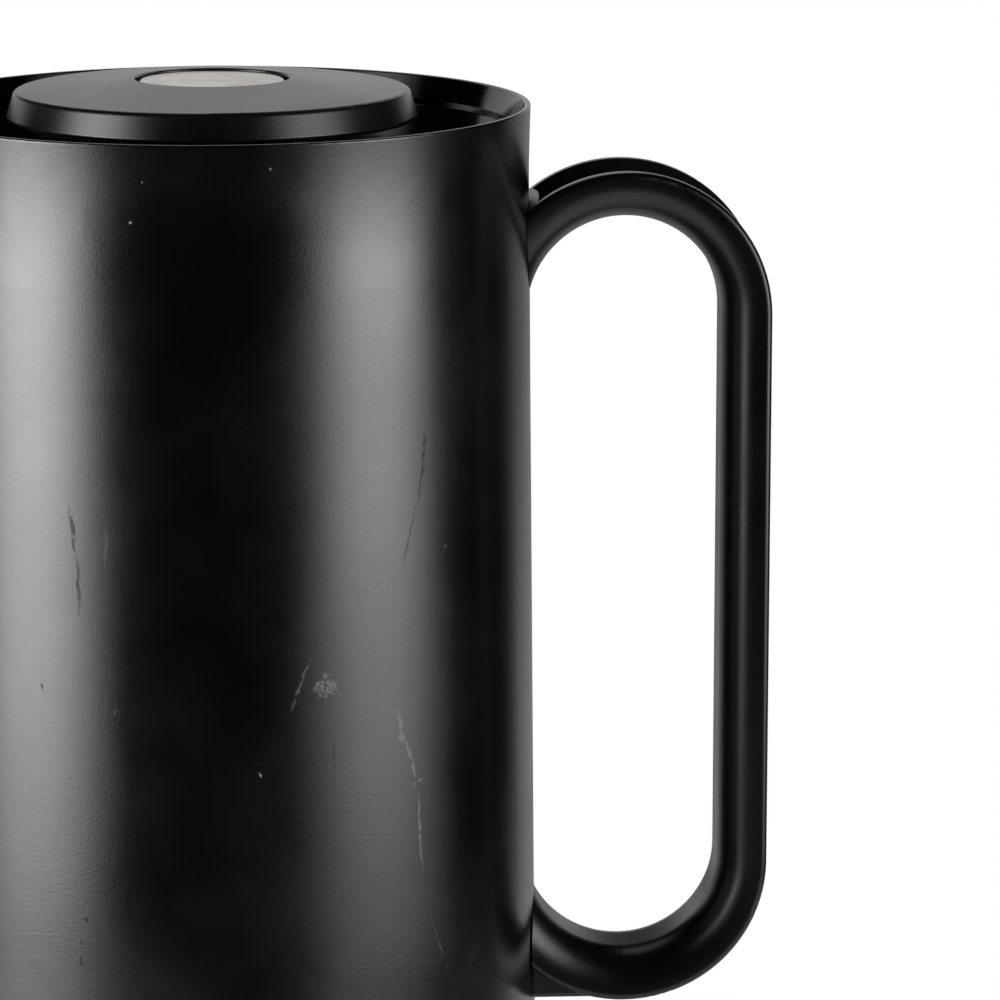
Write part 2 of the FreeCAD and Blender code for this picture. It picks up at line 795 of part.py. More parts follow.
def handle_web():
    """The web that fills the corner between the lower bend and the body."""
    z_low = handle_foot_z + web_inset
    length = bend_outer_radius
    height = lower_bend_z - z_low
    block = Part.makeBox(length, web_width, height, V(root_centre_x - length, -web_width / 2, z_low))
    lower = [e for e in block.Edges if e.BoundBox.ZMax < z_low + seam_gap and e.BoundBox.YLength < seam_gap]
    block = block.makeFillet(web_round, lower)
    corner = V(root_centre_x, -web_width, lower_bend_z)
    return block.cut(Part.makeCylinder(grip_radius + web_seat, 2 * web_width, corner, V(0, 1, 0)))


def handle():
    """The loop handle, seated on the body with a tongue above and two screws below."""
    body = body_frustum(foot_stand, rim_z, -seam_gap)
    loop = handle_strap().fuse(handle_web()).cut(body)
    loop = max(loop.Solids, key=lambda s: s.Volume).fuse(tongue(0)).removeSplitter()
    for y in handle_screw_places():
        hole = Part.makeCylinder(screw_radius + seam_gap, handle_screw_length + overrun)
        loop = loop.cut(along_x(hole, backing_face_x() - backing_plate, y, handle_screw_z))
    return loop


def handle_backing_plate():
    """The steel plate that spreads the pull of the handle screws."""
    corner = V(backing_face_x() - backing_plate, -backing_width / 2, handle_screw_z - backing_height / 2)
    plate = Part.makeBox(backing_plate, backing_width, backing_height, corner)
    plate = plate.makeFillet(backing_margin, [e for e in plate.Edges if e.BoundBox.XLength > seam_gap])
    for y in handle_screw_places():
        hole = Part.makeCylinder(screw_radius + fit_gap, backing_plate + 2 * overrun)
        plate = plate.cut(along_x(hole, corner.x - overrun, y, handle_screw_z))
    return plate


def handle_screws():
    """The screws from inside the shell into the foot of the handle."""
    x = backing_face_x() - backing_plate
    return [along_x(pan_screw(handle_screw_length), x, y, handle_screw_z) for y in handle_screw_places()]


def lid_slope():
    """Fall of the lid's conical top face for each millimetre away from the axis."""
    return (lid_crest_rise - lid_edge_rise) / (lid_radius - lid_lean - button_hole_radius)


def lid_screw_end_z():
    """How high the lid screws reach inside their bosses."""
    top_z = lid_crest_z - lid_slope() * (lid_screw_circle - button_hole_radius)
    return top_z - lid_skin - seam_gap


def lid_disc():
    """The black disc that closes the top, with the sleeve for its button."""
    sleeve = button_hole_radius + sleeve_wall
    under_hole = lid_crest_z - lid_wall - lid_slope() * sleeve_wall
    under_edge = lid_edge_z - lid_wall + lid_slope() * lid_skirt
    sleeve_z = plate_top_z + fit_gap
    disc = turned([
        (button_hole_radius, lid_crest_z, hole_round),
        (lid_radius - lid_lean, lid_edge_z, lid_edge_round),
        (lid_radius, lid_bottom_z, lid_foot_round),
        (skirt_bore, lid_bottom_z, lid_foot_round),
        (skirt_bore, under_edge, 0),
        (sleeve, under_hole, 0),
        (sleeve, sleeve_z, 0),
        (button_hole_radius, sleeve_z, hole_round),
    ])
    boss_top = lid_edge_z - lid_wall / 2
    boss = Part.makeCylinder(lid_boss_radius, boss_top - plate_top_z, V(lid_screw_circle, 0, plate_top_z))
    for angle in around(lid_screw_count, lid_screw_turn):
        disc = disc.fuse(spun(boss, angle))
    hole_length = lid_screw_end_z() + seam_gap - plate_top_z + overrun
    hole = Part.makeCylinder(screw_radius + seam_gap, hole_length, V(lid_screw_circle, 0, plate_top_z - overrun))
    for angle in around(lid_screw_count, lid_screw_turn):
        disc = disc.cut(spun(hole, angle))
    return disc.removeSplitter()


def stopper_windows(body):
    """Cut the pouring windows through the barrel, between the flange and the deck."""
    z_low = flange_top_z
    z_high = deck_z - window_margin
    for angle in around(window_count):
        corner = V(stem_hub_radius + fit_gap, -window_width / 2, z_low)
        window = Part.makeBox(barrel_radius, window_width, z_high - z_low, corner)
        body = body.cut(spun(window, angle))
    return body


def stopper_body():
    """The barrel in the neck: pouring windows above, flange, groove for the seal and valve seat."""
    seal_low = hub_z + seal_margin
    seal_high = seal_low + seal_height
    flange = neck_bore_radius + flange_overlap
    body = turned([
        (barrel_bore, barrel_end_z, 0),
        (barrel_radius, barrel_end_z, valve_edge),
        (barrel_radius, seal_low, 0),
        (barrel_radius - seal_groove, seal_low, 0),
        (barrel_radius - seal_groove, seal_high, 0),
        (barrel_radius, seal_high, 0),
        (barrel_radius, land_z, 0),
        (flange, land_z, valve_edge),
        (flange, flange_top_z, valve_edge),
        (barrel_radius, flange_top_z, 0),
        (barrel_radius, lid_bottom_z, 0),
        (barrel_bore, lid_bottom_z, 0),
    ])
    return stopper_windows(body)


def spring_housing():
    """The cup that hangs in the barrel and holds the spring, with the plate under the lid."""
    rim = barrel_bore - seam_gap
    bore = rim - housing_wall
    spigot_hole = spigot_radius + seam_gap
    plate_rim = skirt_bore - fit_gap
    housing = turned([
        (spigot_hole, deck_z, 0),
        (rim, deck_z, valve_edge),
        (rim, lid_bottom_z, 0),
        (plate_rim, lid_bottom_z, 0),
        (plate_rim, plate_top_z, 0),
        (bore, plate_top_z, 0),
        (bore, deck_top_z, 0),
        (spigot_hole, deck_top_z, 0),
    ])
    hole = Part.makeCylinder(screw_radius + fit_gap, lid_plate + 2 * overrun)
    hole.translate(V(lid_screw_circle, 0, lid_bottom_z - overrun))
    for angle in around(lid_screw_count, lid_screw_turn):
        housing = housing.cut(spun(hole, angle))
    return housing


def stem_bushing():
    """The bushing under the spring cup that guides the stem, open below for its wiper."""
    bore = stem_radius + running_gap
    seat = wiper_radius + seam_gap
    low = deck_z - stem_hub_length
    return turned([
        (bore, low + wiper_height, 0),
        (seat, low + wiper_height, 0),
        (seat, low, 0),
        (stem_hub_radius, low, 0),
        (stem_hub_radius, deck_z, 0),
        (spigot_radius, deck_z, 0),
        (spigot_radius, deck_top_z, 0),
        (bore, deck_top_z, 0),
    ])


def stopper_seal():
    """The two-lipped ring that seals the barrel in the neck."""
    inner = barrel_radius - seal_groove + seam_gap
    outer = neck_bore_radius - seal_play
    neck = outer - seal_neck
    z_low = hub_z + seal_margin + seam_gap
    z_high = z_low + seal_height - 2 * seam_gap
    lip = (z_high - z_low) / 3
    return turned([
        (inner, z_low, 0),
        (outer, z_low, seal_neck / 2),
        (neck, z_low + lip, 0),
        (neck, z_high - lip, 0),
        (outer, z_high, seal_neck / 2),
        (inner, z_high, 0),
    ])


def ring_seal():
    """The round ring that keeps water out between the lid and the plate under it."""
    z = plate_top_z + ring_seal_radius + seam_gap
    return Part.makeTorus(skirt_bore - ring_seal_radius - seam_gap, ring_seal_radius, V(0, 0, z))


def lid_screws():
    """Screws up through the plate into the bosses of the lid."""
    screw = pan_screw(lid_screw_end_z() - lid_bottom_z)
    screw.translate(V(lid_screw_circle, 0, lid_bottom_z))
    return [spun(screw, angle) for angle in around(lid_screw_count, lid_screw_turn)]


def stem_guide():
    """The three-armed guide that steadies the stem near the valve."""
    z_low = barrel_end_z + guide_rise
    z_high = z_low + guide_height
    rim = barrel_bore - seam_gap
    guide = tube(rim, rim - guide_ring, z_low, z_high)
    hub = Part.makeCylinder(stem_hub_radius, guide_height, V(0, 0, z_low))
    arm = Part.makeBox(rim - guide_ring / 2, guide_arm, guide_height, V(0, -guide_arm / 2, z_low))
    for angle in around(guide_arm_count, guide_arm_turn):
        guide = guide.fuse(spun(arm, angle))
    bore = Part.makeCylinder(stem_radius + running_gap, guide_height + 2 * overrun, V(0, 0, z_low - overrun))
    return guide.fuse(hub).removeSplitter().cut(bore)


def stem_wiper():
    """The rubber ring that keeps coffee out of the spring chamber."""
    z_low = deck_z - stem_hub_length
    return tube(wiper_radius, stem_radius + running_gap, z_low, z_low + wiper_height)


def biarc(start, start_way, end, end_way):
    """Two tangent arcs between two points with given directions."""
    chord = end - start
    both = start_way + end_way
    turn = 2 * (1 - start_way.dot(end_way))
    along = chord.dot(both)
    reach = (math.sqrt(along ** 2 + turn * chord.dot(chord)) - along) / turn
    joint = (start + start_way * reach + end - end_way * reach) * 0.5
    return [bend_from(start, start_way, joint), bend_from(end, end_way * -1, joint)]


def bend_from(start, way, end):
    """The arc that leaves a point in a direction and ends at another point."""
    chord = end - start
    flat = V(chord).normalize()
    side = (way - flat * way.dot(flat)).normalize()
    rise = chord.Length / 2 * math.tan(way.getAngle(chord) / 2)
    return Part.Arc(start, start + chord * 0.5 + side * rise, end).toShape()


def spring_points():
    """Places and directions along the coil, a quarter turn apart."""
    low = deck_top_z + spring_wire_radius + seam_gap
    rise = spring_length - 2 * (spring_wire_radius + seam_gap)
    steps = spring_turns * quarter_turns
    slope = rise / (2 * math.pi * spring_turns)
    for i in range(steps + 1):
        a = 2 * math.pi * i / quarter_turns
        place = V(spring_radius * math.cos(a), spring_radius * math.sin(a), low + rise * i / steps)
        way = V(-spring_radius * math.sin(a), spring_radius * math.cos(a), slope).normalize()
        yield place, way


def report_spring_gap(path):
    """Measure the least gap between the turns of the coil on points, and print it."""
    points = path.discretize(spring_turns * quarter_turns * quarter_turns)
    apart = quarter_turns * quarter_turns // 2
    gaps = [a.distanceToPoint(b) for i, a in enumerate(points) for b in points[i + apart:]]
    print("return_spring least gap to itself: %.2f mm" % (min(gaps) - 2 * spring_wire_radius))


def return_spring():
    """The coil under the button, one unbroken wire with straight ends."""
    stations = list(spring_points())
    wire = 2 * spring_wire_radius
    first, first_way = stations[0]
    last, last_way = stations[-1]
    edges = [Part.LineSegment(first - first_way * wire, first).toShape()]
    for (start, start_way), (end, end_way) in zip(stations, stations[1:]):
        edges += biarc(start, start_way, end, end_way)
    edges.append(Part.LineSegment(last, last + last_way * wire).toShape())
    path = Part.Wire(Part.__sortEdges__(edges))
    report_spring_gap(path)
    section = Part.Wire(Part.makeCircle(spring_wire_radius, first - first_way * wire, first_way))
    return path.makePipeShell([section], True, False)


def button_cap():
    """The pressed steel cup on top of the button."""
    inner = button_radius - button_sheet
    rim_z_low = button_top_z - button_rim
    return turned([
        (0, button_top_z, 0),
        (button_radius, button_top_z, button_edge),
        (button_radius, rim_z_low, 0),
        (inner, rim_z_low, 0),
        (inner, roof_top_z, 0),
        (0, roof_top_z, 0),
    ])


def button_plunger():
    """The plunger under the steel cup, hollow below for the spring."""
    neck = button_radius - button_sheet - seam_gap
    shoulder_z = button_top_z - button_rim - seam_gap
    skirt_z = deck_top_z + button_travel + deck_clear
    bore = plunger_radius - plunger_wall
    pocket = nut_flats / math.sqrt(3) + fit_gap
    pocket_z = roof_top_z - nut_height - stem_end
    return turned([
        (thread_radius + seam_gap, roof_under_z, 0),
        (thread_radius + seam_gap, pocket_z, 0),
        (pocket, pocket_z, 0),
        (pocket, roof_top_z, 0),
        (neck, roof_top_z, 0),
        (neck, shoulder_z, 0),
        (plunger_radius, shoulder_z, button_edge),
        (plunger_radius, skirt_z, button_edge),
        (bore, skirt_z, button_edge),
        (bore, roof_under_z, 0),
    ])


def valve_stem():
    """The steel stem from the plunger to the valve, with a thread at each end."""
    low_end = valve_z - nut_height - stem_end
    high_end = roof_top_z - seam_gap
    return turned([
        (0, low_end, 0),
        (thread_radius, low_end, 0),
        (thread_radius, valve_top_z, 0),
        (stem_radius, valve_top_z, 0),
        (stem_radius, roof_under_z, 0),
        (thread_radius, roof_under_z, 0),
        (thread_radius, high_end, 0),
        (0, high_end, 0),
    ])


def valve_groove_radii():
    """Inside and outside of the rubber ring on the valve plate."""
    outer = barrel_radius - valve_edge
    return outer - valve_seal_width, outer


def valve_plate():
    """The plate that shuts the lower end of the barrel."""
    inner, outer = valve_groove_radii()
    floor = valve_top_z - valve_groove
    return turned([
        (thread_radius + seam_gap, valve_z, 0),
        (thread_radius + seam_gap, valve_top_z, 0),
        (inner - seam_gap, valve_top_z, 0),
        (inner - seam_gap, floor, 0),
        (outer + seam_gap, floor, 0),
        (outer + seam_gap, valve_top_z, 0),
        (barrel_radius, valve_top_z, 0),
        (barrel_radius, valve_z, valve_edge),
    ])


def valve_seal():
    """The rubber ring that the plate presses against the end of the barrel."""
    inner, outer = valve_groove_radii()
    floor = valve_top_z - valve_groove
    return tube(outer, inner, floor, floor + valve_seal_height)


def stem_nuts():
    """The nuts that clamp the stem in the plunger and the plate on the stem."""
    return [hex_nut(roof_top_z - nut_height - stem_end), hex_nut(valve_z - nut_height)]


def main():
    """Build every piece and write it to its own file."""
    os.makedirs("parts", exist_ok=True)
    save("outer_shell", outer_shell())
    save("rim_funnel", rim_funnel())
    save("pour_collar", pour_collar())
    save("neck_gasket", neck_gasket())
    save("flask_outer_wall", flask_outer_wall())
    save("flask_inner_bottom", flask_inner_bottom())
    save("flask_inner_wall", flask_inner_wall())
    save("flask_inner_neck", flask_inner_neck())
    save("flask_spacers", *flask_spacers())
    save("flask_cushion", flask_cushion())
    save("base_cap", base_cap())
    save("base_screws", *base_screws())
    save("base_pad", base_pad())
    save("handle", handle())
    save("handle_backing_plate", handle_backing_plate())
    save("handle_screws", *handle_screws())
    save("lid_disc", lid_disc())
    save("stopper_body", stopper_body())
    save("spring_housing", spring_housing())
    save("stem_bushing", stem_bushing())
    save("stopper_seal", stopper_seal())
    save("ring_seal", ring_seal())
    save("lid_screws", *lid_screws())
    save("stem_guide", stem_guide())
    save("stem_wiper", stem_wiper())
    save("return_spring", return_spring())
    save("button_cap", button_cap())
    save("button_plunger", button_plunger())
    save("valve_stem", valve_stem())
    save("valve_plate", valve_plate())
    save("valve_seal", valve_seal())
    save("stem_nuts", *stem_nuts())


main()
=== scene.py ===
import logging
import math
from dataclasses import dataclass
from enum import Enum
from typing import Callable, ClassVar, Protocol, Sequence

import bmesh
import bpy
from mathutils import Matrix, Vector


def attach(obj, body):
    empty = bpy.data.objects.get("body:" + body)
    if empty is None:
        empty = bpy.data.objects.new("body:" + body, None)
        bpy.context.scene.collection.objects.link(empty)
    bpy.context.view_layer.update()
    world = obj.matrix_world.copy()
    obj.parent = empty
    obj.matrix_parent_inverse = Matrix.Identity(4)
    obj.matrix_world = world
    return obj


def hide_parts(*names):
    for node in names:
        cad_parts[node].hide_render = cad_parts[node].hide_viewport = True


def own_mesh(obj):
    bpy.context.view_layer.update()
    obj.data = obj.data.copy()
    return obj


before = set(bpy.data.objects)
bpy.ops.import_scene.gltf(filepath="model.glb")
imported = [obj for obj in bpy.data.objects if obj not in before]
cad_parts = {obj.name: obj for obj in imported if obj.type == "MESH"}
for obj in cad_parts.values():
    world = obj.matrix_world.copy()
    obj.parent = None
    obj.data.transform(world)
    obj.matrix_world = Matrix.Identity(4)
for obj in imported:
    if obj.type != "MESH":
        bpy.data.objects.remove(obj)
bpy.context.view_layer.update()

LOG = logging.getLogger("carafe")
MM = 0.001

Socket = bpy.types.NodeSocket
Range = tuple[float, float]
Triple = tuple[float, float, float]
Colour = Triple
# A noise: features per metre, number of finer layers and their strength.
Layer = Triple

# The middle of a noise, where most of its values lie.
NOISE_MIDDLE: Range = (0.3, 0.7)


class Body(Enum):
    """Bodies of the frame that nodes and pieces ride on."""

    CARAFE = "carafe"
    STOPPER = "stopper"
    BUTTON = "button"


class Wear(Enum):
    """Kinds of mark on a plastic surface."""

    SCUFF = "scuff"
    SCRATCH = "scratch"
    SPECK = "speck"
    STREAK = "streak"
    NICK = "nick"

    @property
    def dark(self) -> bool:
        """Whether the mark takes the shine away, instead of showing paler."""
        return self in (Wear.STREAK, Wear.NICK)

    @property
    def fray(self) -> Triple:
        """Fineness of its frayed edge, and the range of noise over which it breaks up."""
        return {
            Wear.SCUFF: (900.0, 0.36, 0.56),
            Wear.SCRATCH: (420.0, 0.36, 0.5),
            Wear.SPECK: (1500.0, 0.1, 0.3),
            Wear.STREAK: (300.0, 0.26, 0.5),
            Wear.NICK: (1100.0, 0.1, 0.3),
        }[self]


@dataclass(frozen=True)
class Mark:
    """One mark on the round body, placed by its angle from the front and its height.

    Attributes:
        kind: what the mark looks like.
        angle: degrees from the front of the body, positive towards the handle.
        height: metres above the table.
        length: metres along the mark.
        width: metres across the mark.
        lean: degrees from upright, positive when the top leans to the handle.
        strength: how clearly it shows, from 0 to 1.
    """

    kind: Wear
    angle: float
    height: float
    length: float
    width: float
    lean: float = 0.0
    strength: float = 0.5


class Graph:
    """A node tree, with short calls for the nodes that the finishes and the studio share."""

    def __init__(self, tree: bpy.types.NodeTree) -> None:
        """Take over the nodes of a material or of the world."""
        self.tree = tree

    def node(self, kind: str, **settings: object) -> bpy.types.Node:
        """Add a node.

        Args:
            kind: the node's Blender type.
            settings: values for the node's own properties.

        Returns:
            The new node.
        """
        made = self.tree.nodes.new(kind)
        for key, value in settings.items():
            setattr(made, key, value)
        return made

    def feed(self, socket: Socket, value: object) -> None:
        """Link a socket into an input, or set the input to a plain value.

        Args:
            socket: the input.
            value: an output socket, a number or a tuple.
        """
        if isinstance(value, bpy.types.NodeSocket):
            self.tree.links.new(value, socket)
        else:
            socket.default_value = value

    def place(self, kind: str = "Object") -> Socket:
        """Coordinates of one of Blender's kinds, which move with the piece."""
        return self.node("ShaderNodeTexCoord").outputs[kind]

    def rays(self) -> tuple[Socket, Socket]:
        """Tell the kinds of ray apart.

        Returns:
            1 for a ray of the camera, and 1 for a ray that was reflected or let through.
        """
        path = self.node("ShaderNodeLightPath")
        mirror = self.math("MAXIMUM", path.outputs["Is Glossy Ray"], path.outputs["Is Transmission Ray"])
        return path.outputs["Is Camera Ray"], mirror

    def math(self, operation: str, *values: object, clamp: bool = False) -> Socket:
        """Add a math node.

        Args:
            operation: name of the operation.
            values: its inputs, as sockets or numbers.
            clamp: whether the result is kept between 0 and 1.

        Returns:
            The result.
        """
        made = self.node("ShaderNodeMath", operation=operation, use_clamp=clamp)
        for socket, value in zip(made.inputs, values):
            self.feed(socket, value)
        return made.outputs[0]

    def from_axis(self, x: Socket, y: Socket) -> Socket:
        """Distance from the upright axis."""
        squares = self.math("ADD", self.math("POWER", x, 2.0), self.math("POWER", y, 2.0))
        return self.math("SQRT", squares)

    def span(self, value: object, low: float, high: float, start: float, end: float) -> Socket:
        """Map a value smoothly from one range to another, clamped at both ends.

        Args:
            value: the value that is mapped.
            low: lower end of its range.
            high: upper end of its range.
            start: result at the lower end.
            end: result at the upper end.

        Returns:
            The mapped value.
        """
        made = self.node("ShaderNodeMapRange", interpolation_type="SMOOTHSTEP")
        for socket, number in zip(made.inputs, (value, low, high, start, end)):
            self.feed(socket, number)
        return made.outputs[0]

    def noise(self, place: object, scale: float, detail: float = 2.0, rough: float = 0.5) -> Socket:
        """Add a noise texture.

        Args:
            place: coordinates.
            scale: features per metre, roughly.
            detail: number of finer layers.
            rough: strength of the finer layers.

        Returns:
            The noise, around one half.
        """
        made = self.node("ShaderNodeTexNoise")
        self.feed(made.inputs["Vector"], place)
        made.inputs["Scale"].default_value = scale
        made.inputs["Detail"].default_value = detail
        made.inputs["Roughness"].default_value = rough
        return made.outputs["Fac"]

    def stretch(self, place: Socket, scale: Triple) -> Socket:
        """Scale coordinates by a different amount along each axis.

        Args:
            place: coordinates.
            scale: factor along each axis.

        Returns:
            The scaled coordinates.
        """
        made = self.node("ShaderNodeVectorMath", operation="MULTIPLY")
        self.feed(made.inputs[0], place)
        self.feed(made.inputs[1], scale)
        return made.outputs[0]

    def split(self, place: Socket) -> tuple[Socket, Socket, Socket]:
        """Separate coordinates.

        Args:
            place: coordinates.

        Returns:
            Their x, y and z.
        """
        made = self.node("ShaderNodeSeparateXYZ")
        self.feed(made.inputs[0], place)
        return made.outputs[0], made.outputs[1], made.outputs[2]

    def join(self, x: object, y: object, z: object) -> Socket:
        """Combine three values into coordinates.

        Args:
            x: first value.
            y: second value.
            z: third value.

        Returns:
            The coordinates.
        """
        made = self.node("ShaderNodeCombineXYZ")
        for socket, value in zip(made.inputs, (x, y, z)):
            self.feed(socket, value)
        return made.outputs[0]

    def blend(self, share: object, first: object, second: object) -> Socket:
        """Mix two colours.

        Args:
            share: 0 for the first colour, 1 for the second.
            first: a colour or a socket.
            second: a colour or a socket.

        Returns:
            The mixed colour.
        """
        made = self.node("ShaderNodeMix", data_type="RGBA")
        self.feed(made.inputs[0], share)
        for socket, value in ((made.inputs[6], first), (made.inputs[7], second)):
            self.feed(socket, (*value, 1.0) if isinstance(value, tuple) else value)
        return made.outputs[2]

    def bump(self, height: Socket, depth: float, under: Socket | None = None) -> Socket:
        """Turn a height into a disturbed normal.

        Args:
            height: the height, from 0 to 1.
            depth: metres that a height of 1 stands for.
            under: normal of a bump below this one.

        Returns:
            The normal.
        """
        made = self.node("ShaderNodeBump")
        made.inputs["Strength"].default_value = 1.0
        made.inputs["Distance"].default_value = depth
        self.feed(made.inputs["Height"], height)
        if under is not None:
            self.feed(made.inputs["Normal"], under)
        return made.outputs[0]


class MaterialGraph(Graph):
    """A new material with its nodes and its shader."""

    def __init__(self, name: str) -> None:
        """Make the material and find its shader.

        Args:
            name: name of the new material.
        """
        self.material = bpy.data.materials.new(name)
        self.material.use_nodes = True
        super().__init__(self.material.node_tree)
        self.shader = self.tree.nodes["Principled BSDF"]

    def surface(self, **sockets: object) -> bpy.types.Material:
        """Feed the shader's inputs by name, with underscores for spaces.

        Args:
            sockets: values or sockets for the shader's inputs.

        Returns:
            The material.
        """
        for key, value in sockets.items():
            socket = self.shader.inputs[key.replace("_", " ")]
            if isinstance(value, tuple) and socket.type == "RGBA":
                value = (*value, 1.0)
            self.feed(socket, value)
        return self.material

    def glow(self, strength: object) -> Socket:
        """Add a white light.

        Args:
            strength: its brightness, as a number or a socket.

        Returns:
            The light, as a surface.
        """
        light = self.node("ShaderNodeEmission")
        self.feed(light.inputs["Strength"], strength)
        return light.outputs[0]

    def show(self, surface: Socket) -> bpy.types.Material:
        """Use a surface as the material's result, and give the material back."""
        self.feed(self.tree.nodes["Material Output"].inputs["Surface"], surface)
        return self.material

    def shine(self, strength: object) -> bpy.types.Material:
        """Take the shader out, so that the material only gives light of this strength."""
        self.tree.nodes.remove(self.shader)
        return self.show(self.glow(strength))


class MarkSheet:
    """The developed surface of the round body, on which marks are drawn one by one."""

    radius: float = 0.0535
    fray_detail: float = 4.0
    fray_rough: float = 0.7
    gap_fineness: float = 2.3
    gap_detail: float = 3.0
    sway_share: float = 2.2
    soft_edge: Range = (0.1, 1.0)

    def __init__(self, graph: Graph, place: Socket) -> None:
        """Unroll the body.

        Args:
            graph: the material's nodes.
            place: coordinates.
        """
        x, y, self.up = graph.split(place)
        turn = graph.math("ARCTAN2", x, graph.math("MULTIPLY", y, -1.0))
        self.across = graph.math("MULTIPLY", turn, self.radius)
        self.graph = graph
        self.place = place
        self.frays: dict[Wear, tuple[Socket, Socket]] = {}

    def fray(self, kind: Wear) -> tuple[Socket, Socket]:
        """Noise that frays the edge of a kind of mark, and noise that breaks it up.

        Args:
            kind: the kind of mark.

        Returns:
            Both noises, the first around zero and the second from 0 to 1.
        """
        if kind not in self.frays:
            graph = self.graph
            fine, low, high = kind.fray
            edge = graph.noise(self.place, fine, self.fray_detail, self.fray_rough)
            gaps = graph.noise(self.place, self.gap_fineness * fine, self.gap_detail)
            self.frays[kind] = graph.math("SUBTRACT", edge, 0.5), graph.span(gaps, low, high, 0.0, 1.0)
        return self.frays[kind]

    def draw(self, mark: Mark) -> Socket:
        """One mark, as a frayed streak.

        Args:
            mark: where the mark is and what it looks like.

        Returns:
            A mask of the mark.
        """
        step = self.graph.math
        sway, whole = self.fray(mark.kind)
        across = math.radians(mark.angle) * self.radius
        c, s = math.cos(math.radians(mark.lean)), math.sin(math.radians(mark.lean))
        side = step("MULTIPLY_ADD", self.across, c, mark.height * s - across * c)
        side = step("MULTIPLY_ADD", self.up, -s, side)
        side = step("MULTIPLY_ADD", sway, self.sway_share * mark.width, side)
        side = step("MULTIPLY", side, 2.0 / mark.width)
        along = step("MULTIPLY_ADD", self.across, s, -mark.height * c - across * s)
        along = step("MULTIPLY_ADD", self.up, c, along)
        along = step("MULTIPLY", along, 2.0 / mark.length)
        far = step("MULTIPLY_ADD", side, side, step("MULTIPLY", along, along))
        return step("MULTIPLY", self.graph.span(far, *self.soft_edge, mark.strength, 0.0), whole)


@dataclass(frozen=True)
class EdgeTurn:
    """A soft turn of a wall towards its upper edge, which shows only in how the wall shines.

    Attributes:
        low: height at which the turn begins.
        high: height of the edge.
        inside: radius just inside the wall.
        out: metres by which the edge stands out.
        polish: how much glossier the inside of the wall is.
    """

    low: float
    high: float
    inside: float
    out: float
    polish: float

    def outside(self, graph: Graph, place: Socket) -> Socket:
        """Mask of the outside of the wall.

        Args:
            graph: the material's nodes.
            place: coordinates.

        Returns:
            1 outside and 0 inside.
        """
        x, y, _ = graph.split(place)
        out = graph.math("MULTIPLY_ADD", x, x, graph.math("MULTIPLY", y, y))
        return graph.math("GREATER_THAN", out, self.inside ** 2)

    def height(self, graph: Graph, place: Socket, outside: Socket) -> Socket:
        """How far the wall stands out.

        Args:
            graph: the material's nodes.
            place: coordinates.
            outside: mask of the outside of the wall.

        Returns:
            The height, as a share of the turn.
        """
        _, _, z = graph.split(place)
        tall = self.high - self.low
        rise = graph.math("MULTIPLY_ADD", z, 1.0 / tall, -self.low / tall, clamp=True)
        return graph.math("MULTIPLY", graph.math("MULTIPLY", rise, rise), outside)


class Finish(Protocol):
    """What every finish offers."""

    @property
    def name(self) -> str:
        """Name of the material."""

    def make(self) -> bpy.types.Material:
        """Build the node material."""


